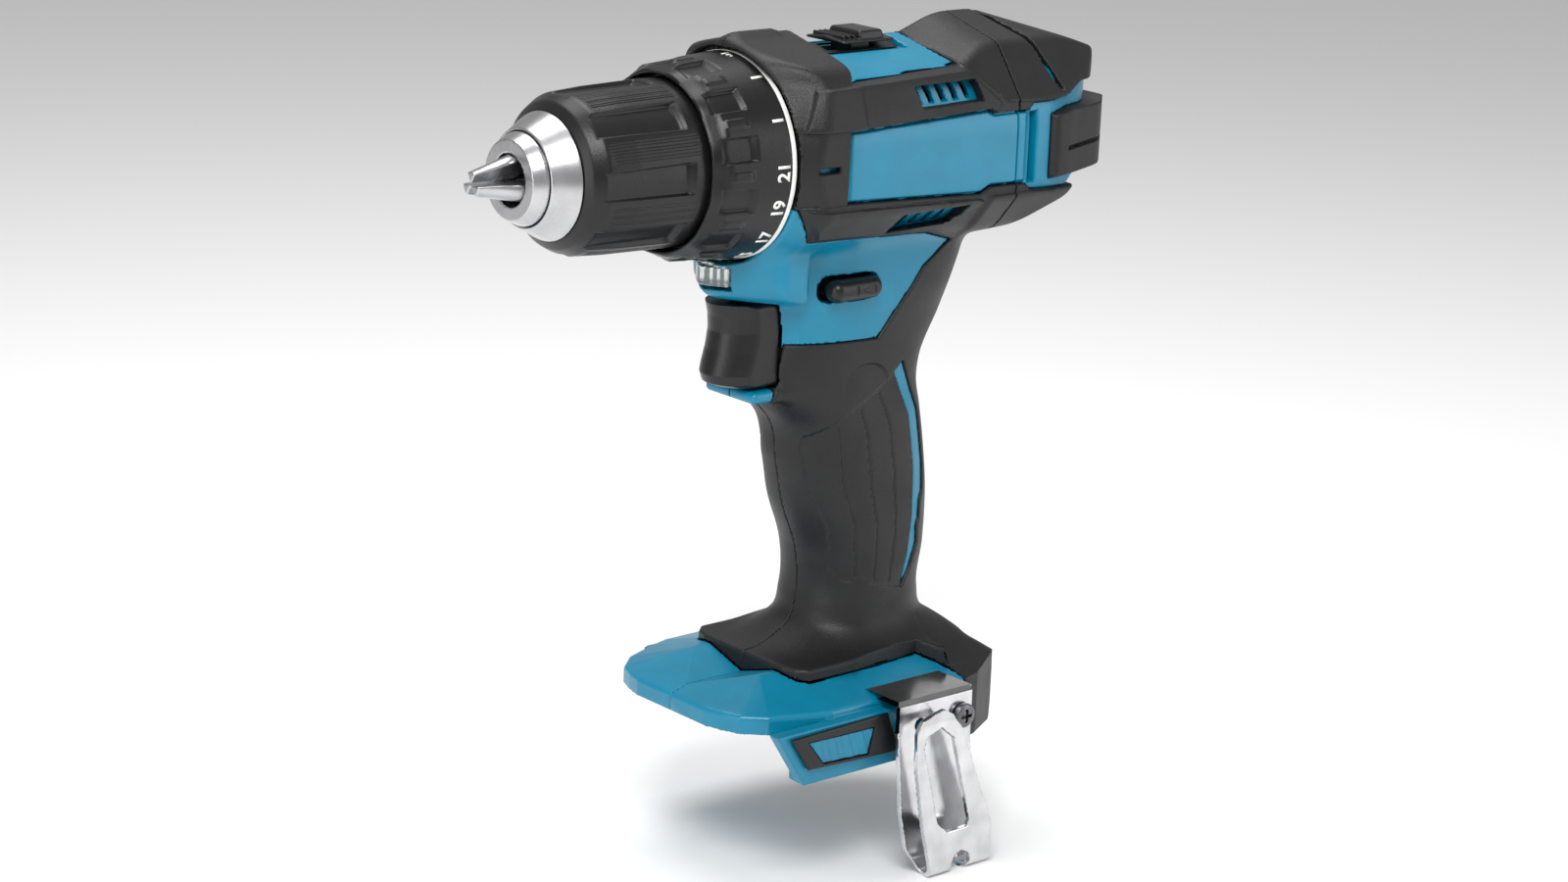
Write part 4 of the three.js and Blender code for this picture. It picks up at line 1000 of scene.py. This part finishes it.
def ring_relief(x: Array, angle: Array, r: Array) -> Array:
    """Scalloped rim, ribs and pockets of the torque ring, and the seat of its white band."""
    outside = r > 23.9
    degrees = np.degrees(angle)
    across = (degrees / 30.0) % 1.0 * 30.0 - 15.0
    pocket = ramp((7.6 - np.abs(across)) / 0.9) * ramp((x + 64.6) / 0.9) * ramp((-54.2 - x) / 0.9)
    rim = 0.5 * ramp((-62.0 - x) / 2.0) * (0.5 - 0.5 * np.cos(np.radians(across * 12.0)))
    rib = 0.45 * ramp((3.0 - np.abs(np.abs(across) - 15.0)) / 0.8)
    rib = rib * ramp((x + 63.0) / 1.2) * ramp((-55.4 - x) / 1.2)
    band = 0.35 * ramp((x + 43.75) / 0.08) * ramp((r - 26.9) / 0.1)
    return np.where(outside, -1.25 * pocket - rim + rib - band, 0.0)


# ---------------------------------------------------------------------------
# Materials
# ---------------------------------------------------------------------------
class Grain(Enum):
    """Kinds of surface detail."""

    PEEL = "fine orange peel"
    RUBBER = "fine moulded texture"
    TURNED = "rings about the spindle"
    ROLLED = "long faint rolling lines"
    CAST = "cast skin"
    BOARD = "solder resist"
    GLASS = "polished"


@dataclass(frozen=True)
class Finish:
    """A surface finish.

    Attributes:
        colour: base colour, linear.
        rough: roughness.
        grain: kind of surface detail.
        metal: 1 for metal, 0 otherwise.
        bump: strength of the fine relief.
        scale: size of the fine relief, in features per metre.
        shift: how far colour and roughness vary.
        coat: weight of a clear coat.
        clear: share of light that passes.
    """

    colour: tuple[float, float, float]
    rough: float
    grain: Grain
    metal: float = 0.0
    bump: float = 0.15
    scale: float = 2200.0
    shift: float = 0.12
    coat: float = 0.0
    clear: float = 0.0


FINISHES: dict[str, Finish] = {
    "teal_plastic": Finish((0.0, 0.180, 0.300), 0.34, Grain.PEEL, 0.0, 0.05, 1400, 0.06, coat=0.15),
    "overmould_rubber": Finish((0.0082, 0.0082, 0.0088), 0.46, Grain.RUBBER, 0.0, 0.20, 3400, 0.16),
    "black_plastic": Finish((0.0060, 0.0060, 0.0064), 0.34, Grain.PEEL, 0.0, 0.12, 2600, 0.14),
    "satin_steel": Finish((0.50, 0.50, 0.51), 0.27, Grain.TURNED, 1.0, 0.10, 2600, 0.12),
    "dark_steel": Finish((0.17, 0.17, 0.18), 0.38, Grain.CAST, 1.0, 0.12, 1500, 0.25),
    "bright_strip": Finish((0.66, 0.66, 0.67), 0.17, Grain.ROLLED, 1.0, 0.05, 900, 0.14),
    "copper": Finish((0.62, 0.28, 0.14), 0.32, Grain.ROLLED, 1.0, 0.08, 1500, 0.15),
    "brass": Finish((0.66, 0.46, 0.19), 0.30, Grain.TURNED, 1.0, 0.08, 2200, 0.15),
    "ceramic_magnet": Finish((0.05, 0.05, 0.055), 0.65, Grain.CAST, 0.2, 0.25, 1800, 0.2),
    "circuit_board": Finish((0.015, 0.13, 0.05), 0.40, Grain.BOARD, bump=0.10, scale=900, shift=0.2),
    "clear_lens": Finish((0.86, 0.92, 0.94), 0.06, Grain.GLASS, bump=0.03, scale=600, shift=0.03, clear=0.92),
    "white_mark": Finish((0.82, 0.82, 0.80), 0.45, Grain.PEEL, bump=0.08, scale=2600, shift=0.05),
}


class MaterialMaker:
    """Builds node materials from finishes, one for each."""

    BROAD_SCALE, CLOUD_SCALE = 60.0, 140.0
    RELIEF_DEPTH = 0.0004
    COAT_ROUGHNESS = 0.25
    GLASS_INDEX, PLASTIC_INDEX = 1.49, 1.42

    def __init__(self) -> None:
        """Starts with no materials made."""
        self.made: dict[str, bpy.types.Material] = {}

    def get(self, name: str) -> bpy.types.Material:
        """Returns the material of a finish, making it the first time."""
        if name not in self.made:
            self.made[name] = self.build(name, FINISHES[name])
        return self.made[name]

    def build(self, name: str, finish: Finish) -> bpy.types.Material:
        """Makes one material.

        Args:
            name: name of the finish.
            finish: what it looks like.

        Returns:
            The new material.
        """
        material = bpy.data.materials.new(name)
        material.use_nodes = True
        nodes, links = material.node_tree.nodes, material.node_tree.links
        shader = nodes["Principled BSDF"]
        shader.inputs["Metallic"].default_value = finish.metal
        shader.inputs["Coat Weight"].default_value = finish.coat
        shader.inputs["Coat Roughness"].default_value = self.COAT_ROUGHNESS
        shader.inputs["Transmission Weight"].default_value = finish.clear
        shader.inputs["IOR"].default_value = self.GLASS_INDEX if finish.clear else self.PLASTIC_INDEX
        place = nodes.new("ShaderNodeTexCoord").outputs["Object"]

        def noise(scale: float, detail: float, stretch: Optional[Stretch] = None) -> bpy.types.NodeSocket:
            node = nodes.new("ShaderNodeTexNoise")
            node.inputs["Scale"].default_value = scale
            node.inputs["Detail"].default_value = detail
            source = place
            if stretch is not None:
                mapping = nodes.new("ShaderNodeMapping")
                mapping.inputs["Scale"].default_value = stretch
                links.new(place, mapping.inputs["Vector"])
                source = mapping.outputs["Vector"]
            links.new(source, node.inputs["Vector"])
            return node.outputs["Fac"]

        def spread(source: bpy.types.NodeSocket, low: float, high: float) -> bpy.types.NodeSocket:
            node = nodes.new("ShaderNodeMapRange")
            node.inputs["From Min"].default_value = 0.3
            node.inputs["From Max"].default_value = 0.7
            node.inputs["To Min"].default_value = low
            node.inputs["To Max"].default_value = high
            links.new(source, node.inputs["Value"])
            return node.outputs["Result"]

        smoother, rougher = finish.rough * (1 - finish.shift), finish.rough * (1 + finish.shift)
        links.new(spread(noise(self.BROAD_SCALE, 4.0), smoother, rougher), shader.inputs["Roughness"])
        shade = nodes.new("ShaderNodeMix")
        shade.data_type = "RGBA"
        dark = tuple(c * (1 - finish.shift) for c in finish.colour)
        light = tuple(min(1.0, c * (1 + finish.shift)) for c in finish.colour)
        shade.inputs["A"].default_value = (*dark, 1.0)
        shade.inputs["B"].default_value = (*light, 1.0)
        links.new(spread(noise(self.CLOUD_SCALE, 6.0), 0.0, 1.0), shade.inputs["Factor"])
        links.new(shade.outputs["Result"], shader.inputs["Base Color"])
        height = self.relief(nodes, links, place, finish, noise)
        bump = nodes.new("ShaderNodeBump")
        bump.inputs["Strength"].default_value = finish.bump
        bump.inputs["Distance"].default_value = self.RELIEF_DEPTH
        links.new(height, bump.inputs["Height"])
        links.new(bump.outputs["Normal"], shader.inputs["Normal"])
        return material

    @staticmethod
    def relief(nodes: bpy.types.Nodes, links: bpy.types.NodeLinks, place: bpy.types.NodeSocket, finish: Finish,
               noise: Callable[..., bpy.types.NodeSocket]) -> bpy.types.NodeSocket:
        """Fine relief of a finish.

        Args:
            nodes: the material's nodes.
            links: its links.
            place: object coordinates.
            finish: the finish.
            noise: maker of noise textures.

        Returns:
            The height output.
        """
        if finish.grain is Grain.TURNED:
            return noise(finish.scale, 2.0, (1.0, 0.02, 0.02))
        if finish.grain is Grain.ROLLED:
            return noise(finish.scale, 3.0, (1.0, 1.0, 0.05))
        if finish.grain not in (Grain.CAST, Grain.RUBBER):
            return noise(finish.scale, 3.0)
        cells = nodes.new("ShaderNodeTexVoronoi")
        cells.inputs["Scale"].default_value = finish.scale
        links.new(place, cells.inputs["Vector"])
        if finish.grain is Grain.CAST:
            return cells.outputs["Distance"]
        both = nodes.new("ShaderNodeMath")
        both.operation = "MULTIPLY_ADD"
        both.inputs[1].default_value = 0.6
        links.new(cells.outputs["Distance"], both.inputs[0])
        links.new(noise(finish.scale * 0.5, 3.0), both.inputs[2])
        return both.outputs[0]


# ---------------------------------------------------------------------------
# Marks on the torque ring
# ---------------------------------------------------------------------------
class DialMarks:
    """White numerals and dashes on the torque ring."""

    STEP_DEGREES = 21.3
    FIRST_DEGREES = 179.7
    NUMBERS = (21, 19, 17, 15, 13, 11, 9, 7, 5, 3, 1)
    DEPTH = 0.12
    FOOTING = 0.03  # gap below the marks
    FIGURE_SIZE, FIGURE_X, DASH_X = 3.7, -46.2, -46.4
    # Place round the ring in degrees, width and length of each dash.
    DASHES = ((123.0, 0.75, 3.4), (151.4, 0.75, 3.4), (94.0, 0.5, 2.4), (97.0, 0.5, 1.5), (99.5, 0.5, 0.8))

    def numeral(self, text: str, size: float) -> tuple[Array, Array]:
        """Outline of a numeral as flat triangles.

        Args:
            text: the numeral.
            size: height of the figures in millimetres.

        Returns:
            Flat points and triangles, centred on the origin.
        """
        letters = bpy.data.curves.new("figure", "FONT")
        letters.body = text
        letters.size = size / 0.72
        letters.align_x, letters.align_y = "CENTER", "CENTER"
        letters.resolution_u = 4
        letters.offset = 0.035 * size
        helper = bpy.data.objects.new("figure", letters)
        bpy.context.scene.collection.objects.link(helper)
        bpy.context.view_layer.update()
        mesh = helper.evaluated_get(bpy.context.evaluated_depsgraph_get()).to_mesh()
        mesh.calc_loop_triangles()
        points = np.zeros(len(mesh.vertices) * 3)
        mesh.vertices.foreach_get("co", points)
        triangles = np.zeros(len(mesh.loop_triangles) * 3, np.int32)
        mesh.loop_triangles.foreach_get("vertices", triangles)
        bpy.data.objects.remove(helper)
        bpy.data.curves.remove(letters)
        return points.reshape(-1, 3)[:, :2], triangles.reshape(-1, 3)

    def solid(self, flat: Array, triangles: Array, centre_x: float, degrees: float) -> Surface:
        """Wraps flat triangles on the ring and gives them thickness.

        Args:
            flat: flat points; the first coordinate runs round the ring, the second towards the chuck.
            triangles: triangles over them.
            centre_x: place along the spindle.
            degrees: place round the ring.

        Returns:
            A thin closed skin.
        """
        x = centre_x - flat[:, 1]
        skin = np.interp(x, *zip(*RING_SKIN))
        angle = math.radians(degrees) - flat[:, 0] / skin
        layers = []
        for rise in (self.FOOTING, self.FOOTING + self.DEPTH):
            r = skin + rise
            layers.append(np.stack([x, r * np.cos(angle), r * np.sin(angle)], -1))
        count = len(flat)
        top = triangles + count
        bottom = triangles[:, ::-1]
        edges = dict.fromkeys(e for a, b, c in triangles for e in ((a, b), (b, c), (c, a)))
        rim = np.array([(a, b, b + count) for a, b in edges if (b, a) not in edges]
                       + [(a, b + count, a + count) for a, b in edges if (b, a) not in edges])
        faces = np.concatenate([top, bottom, rim])
        return Surface(np.concatenate(layers), faces)

    @staticmethod
    def bar(width: float, length: float) -> tuple[Array, Array]:
        """A flat bar, long towards the chuck."""
        across = np.array([-0.5, 0.0, 0.5]) * width
        along = np.array([-0.5, 0.5]) * length
        points = np.array([(u, v) for v in along for u in across])
        return points, np.array([(0, 1, 4), (0, 4, 3), (1, 2, 5), (1, 5, 4)])

    def all(self) -> Surface:
        """All numerals and dashes as one skin."""
        parts: list[Surface] = []
        for i, number in enumerate(self.NUMBERS):
            degrees = self.FIRST_DEGREES + i * self.STEP_DEGREES
            parts.append(self.solid(*self.numeral(str(number), self.FIGURE_SIZE), self.FIGURE_X, degrees))
        for degrees, width, length in self.DASHES:
            parts.append(self.solid(*self.bar(width, length), self.DASH_X, degrees))
        points, faces, start = [], [], 0
        for part in parts:
            points.append(part.points)
            faces.append(part.faces + start)
            start += len(part.points)
        return Surface(np.concatenate(points), np.concatenate(faces))


# ---------------------------------------------------------------------------
# The scene
# ---------------------------------------------------------------------------
@dataclass
class Job:
    """One skin to make and place.

    Attributes:
        name: name of the piece.
        shape: its field.
        low: lowest corner of its region in millimetres.
        high: highest corner.
        step: sampling step in millimetres.
        slot: material slot.
        body: body that it rides on.
        replaces: frame nodes that it stands for.
        keep: share of faces kept.
    """

    name: str
    shape: Field
    low: tuple[float, float, float]
    high: tuple[float, float, float]
    step: float
    slot: str
    body: str
    replaces: tuple[str, ...] = ()
    keep: float = 1.0


class DrillScene:
    """Builds and lights the drill."""

    SPINDLE_HEIGHT = 0.151
    LENS_MM, SENSOR_MM = 78.915, 36.0
    CAMERA_AT = (-0.60899, -0.67781, 0.16690)
    CAMERA_RIGHT = (0.76073, -0.64799, 0.03728)
    CAMERA_DOWN = (-0.14533, -0.22603, -0.96322)
    CAMERA_FORWARD = (0.63259, 0.72733, -0.26612)
    FLOOR_REACH, FLOOR_LEVEL, FLOOR_GREY, FLOOR_ROUGH = 4.0, -0.0445, 0.93, 0.9
    SKY_STRENGTH = 0.42
    MIDDLE = (-0.02, 0.0, 0.09)
    # Name, place and size of each lamp in metres, and its power in watts.
    LAMPS = (
        ("key", (-0.55, -0.60, 0.95), (0.55, 0.45), 10.0), ("left", (-1.05, -0.15, 0.25), (0.35, 0.9), 3.6),
        ("right", (0.75, -0.85, 0.35), (0.35, 0.9), 3.0), ("top", (0.05, 0.25, 1.0), (0.7, 0.5), 6.0))

    def __init__(self) -> None:
        """Loads the frame and prepares makers."""
        self.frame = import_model()
        self.start_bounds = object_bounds()
        self.workshop = Workshop(self.SPINDLE_HEIGHT)
        self.materials = MaterialMaker()

    # -- camera and light ---------------------------------------------------
    def camera(self) -> None:
        """Places the camera and makes it the scene's."""
        data = bpy.data.cameras.new("camera")
        data.lens = self.LENS_MM
        data.sensor_width = self.SENSOR_MM
        data.clip_start, data.clip_end = 0.01, 20.0
        camera = bpy.data.objects.new("camera", data)
        bpy.context.scene.collection.objects.link(camera)
        right, down = Vector(self.CAMERA_RIGHT), Vector(self.CAMERA_DOWN)
        forward = Vector(self.CAMERA_FORWARD)
        turn = Matrix((right, -down, -forward)).transposed().to_4x4()
        x, y, z = self.CAMERA_AT
        turn.translation = Vector((x, y, z + self.SPINDLE_HEIGHT))
        camera.matrix_world = turn
        bpy.context.scene.camera = camera

    @classmethod
    def lamp(cls, name: str, place: Sequence[float], size: tuple[float, float], power: float) -> None:
        """Adds a soft rectangular lamp that faces the drill.

        Args:
            name: name of the lamp.
            place: where it stands, in metres.
            size: width and height in metres.
            power: its power in watts.
        """
        data = bpy.data.lights.new(name, "AREA")
        data.shape = "RECTANGLE"
        data.size, data.size_y = size
        data.energy = power
        lamp = bpy.data.objects.new(name, data)
        bpy.context.scene.collection.objects.link(lamp)
        lamp.location = place
        lamp.rotation_euler = (Vector(cls.MIDDLE) - Vector(place)).to_track_quat("-Z", "Y").to_euler()

    def studio(self) -> None:
        """Pale floor, white surroundings and studio lights."""
        world = bpy.data.worlds.new("studio")
        bpy.context.scene.world = world
        bpy.context.scene.view_settings.view_transform = "Standard"
        world.use_nodes = True
        sky = world.node_tree.nodes["Background"]
        sky.inputs["Color"].default_value = (1.0, 1.0, 1.0, 1.0)
        sky.inputs["Strength"].default_value = self.SKY_STRENGTH
        reach, level = self.FLOOR_REACH, self.FLOOR_LEVEL
        mesh = bpy.data.meshes.new("floor")
        corners = [(a * reach, b * reach, level) for a, b in ((-1, -1), (1, -1), (1, 1), (-1, 1))]
        mesh.from_pydata(corners, [], [(0, 1, 2, 3)])
        floor = bpy.data.objects.new("floor", mesh)
        bpy.context.scene.collection.objects.link(floor)
        material = bpy.data.materials.new("floor")
        material.use_nodes = True
        shader = material.node_tree.nodes["Principled BSDF"]
        shader.inputs["Base Color"].default_value = (self.FLOOR_GREY, self.FLOOR_GREY, self.FLOOR_GREY, 1.0)
        shader.inputs["Roughness"].default_value = self.FLOOR_ROUGH
        mesh.materials.append(material)
        floor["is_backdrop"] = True
        for name, place, size, power in self.LAMPS:
            self.lamp(name, place, size, power)

    # -- pieces ---------------------------------------------------------------
    def jobs(self) -> list[Job]:
        """Every skin made from a field."""
        shell, small = Shell(), SmallParts()
        return [
            Job("housing_left_skin", shell.half(shell.teal, 1), (-60, -41, -165), (62, 0.6, 36), 0.6,
                "teal_plastic", "housing", ("housing_left",), 0.55),
            Job("housing_right_skin", shell.half(shell.teal, -1), (-60, -0.6, -165), (62, 41, 36), 0.6,
                "teal_plastic", "housing", ("housing_right",), 0.55),
            Job("grip_left_skin", shell.half(shell.rubber, 1), (-60, -41, -166), (62, 0.6, 36), 0.6,
                "overmould_rubber", "housing", ("grip_left",), 0.55),
            Job("grip_right_skin", shell.half(shell.rubber, -1), (-60, -0.6, -166), (62, 41, 36), 0.6,
                "overmould_rubber", "housing", ("grip_right",), 0.55),
            Job("rear_cover_skin", shell.cover(shell.teal), (32, -34, -30), (83, 34, 36), 0.6,
                "teal_plastic", "housing", ("rear_cover",), 0.55),
            Job("rear_bumper_skin", shell.cover(shell.rubber), (32, -36, -30), (84, 36, 36), 0.6,
                "overmould_rubber", "housing", ("rear_bumper",), 0.55),
            Job("trigger_skin", small.trigger, (-50, -10, -64), (-12, 10, -38), 0.4, "black_plastic",
                "trigger", ("trigger",)),
            Job("lever_skin", small.lever, (-24, -23, -40), (-3, 23, -31), 0.3, "black_plastic",
                "direction_lever", ("direction_lever",)),
            Job("knob_skin", small.knob, (-12, -9, 23), (9, 9, 33), 0.3, "black_plastic", "speed_knob",
                ("speed_knob",)),
            Job("knob_track", small.knob_track, (-21, -9.6, 24), (11, 9.6, 28.5), 0.35, "black_plastic",
                "housing"),
            Job("lamp_lens", small.lens, (-55, -8, -36), (-45, 8, -28), 0.25, "clear_lens", "housing",
                ("led_lens",)),
            Job("clip_skin", small.clip, (-14, -58, -198), (18, -30, -143), 0.4, "bright_strip", "housing",
                ("belt_clip",)),
            Job("clip_screw_skin", small.clip_screw, (4, -49, -157), (14, -36, -147), 0.25, "dark_steel",
                "housing", ("clip_screw",)),
            Job("badge_left_frame", small.badge, (-50, -42.5, -162), (-8, -39, -147), 0.3, "black_plastic",
                "housing", ("foot_badge_left",)),
            Job("badge_right_frame", small.badge, (-38, 39, -162), (-8, 42.5, -147), 0.3, "black_plastic",
                "housing", ("foot_badge_right",)),
            Job("badge_left_panel", small.badge_panel, (-44, -42, -160), (-17, -39.5, -150), 0.25,
                "teal_plastic", "housing"),
            Job("badge_right_panel", small.badge_panel, (-36, 39.5, -160), (-16, 42, -150), 0.25,
                "teal_plastic", "housing"),
            Job("chuck_body_skin", small.chuck_body, (-114.5, -20, -20), (-61.5, 20, 20), 0.45,
                "satin_steel", "chuck", ("chuck_body",), 0.6),
        ]

    def make(self, job: Job) -> None:
        """Makes one job's skin and places it."""
        skin = Skinner(job.shape, job.low, job.high, job.step).build(job.keep, job.name)
        self.workshop.place(job.name, skin, job.body, job.slot, self.materials.get(job.slot), job.replaces)

    def jaws(self) -> None:
        """The three jaws, one skin turned twice."""
        skin = Skinner(SmallParts.jaw, (-126, -4.5, -1), (-90, 4.5, 16), 0.25).build(1.0, "jaw")
        for i in range(3):
            self.workshop.place(f"jaw_{i + 1}_skin", skin.turned(120.0 * i), f"jaw_{i + 1}", "satin_steel",
                                self.materials.get("satin_steel"), (f"jaw_{i + 1}",))

    def turned(self) -> None:
        """Sleeve, cone, torque ring and its band."""
        get = self.materials.get
        sleeve = Revolved([(-102, 15.9), *SLEEVE_SKIN, (-63.8, 19.6), (-96, 18.7), (-98, 15.9)],
                          0.5, 0.7, 720, sleeve_relief).build()
        self.workshop.place("sleeve_skin", sleeve, "chuck_sleeve", "black_plastic",
                            get("black_plastic"), ("chuck_sleeve",))
        cone = Revolved([(-109.2, 12.2), (-109.2, 12.7), (-102.3, 16.5), (-102.3, 15.6), (-98.6, 15.6),
                         (-98.6, 12.2)],
                        0.3, 0.8, 128).build()
        self.workshop.place("sleeve_cone_skin", cone, "chuck_sleeve", "satin_steel",
                            get("satin_steel"), ("sleeve_cone",))
        ring = Revolved([(-67, 22.9), *RING_SKIN, (-42.3, 24), (-59.2, 24), (-59.2, 17.7), (-61, 17.7), (-61, 22.9)],
                        0.45, 0.6, 720, ring_relief).build()
        self.workshop.place("torque_ring_skin", ring, "torque_ring", "black_plastic",
                            get("black_plastic"), ("torque_ring",))
        band = Revolved([(-43.65, 26.98), (-43.65, 27.32), (-42.42, 27.38), (-42.42, 26.98)],
                        0.05, 0.8, 256).build()
        self.workshop.place("ring_band", band, "torque_ring", "black_plastic", get("white_mark"))
        self.workshop.place("ring_marks", DialMarks().all(), "torque_ring", "black_plastic",
                            get("white_mark"))

    def dress_nodes(self) -> None:
        """Gives every frame node that stays a finish of its own."""
        slots = {m["slot"]: m for m in self.frame["record"].get("materials", [])}
        for name, node in self.frame["nodes"].items():
            if node.hide_render:
                continue
            current = node.data.materials[0].name if node.data.materials else ""
            chosen = next((s for s in slots if current.startswith(s)), "dark_steel")
            for i in range(len(node.data.materials)):
                node.data.materials[i] = self.materials.get(chosen)
            LOG.info("node %s keeps its shape with finish %s (%s)", name, chosen, current)

    def save_size(self) -> None:
        """Updates the view layer after the new pieces are placed."""
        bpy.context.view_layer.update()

    def build(self) -> None:
        """Builds everything."""
        self.camera()
        self.studio()
        for job in self.jobs():
            self.make(job)
        self.jaws()
        self.turned()
        self.dress_nodes()
        self.save_size()


def main() -> None:
    """Builds the scene."""
    logging.basicConfig(level=logging.INFO, format="%(name)s: %(message)s")
    DrillScene().build()


if __name__ == "__main__":
    main()
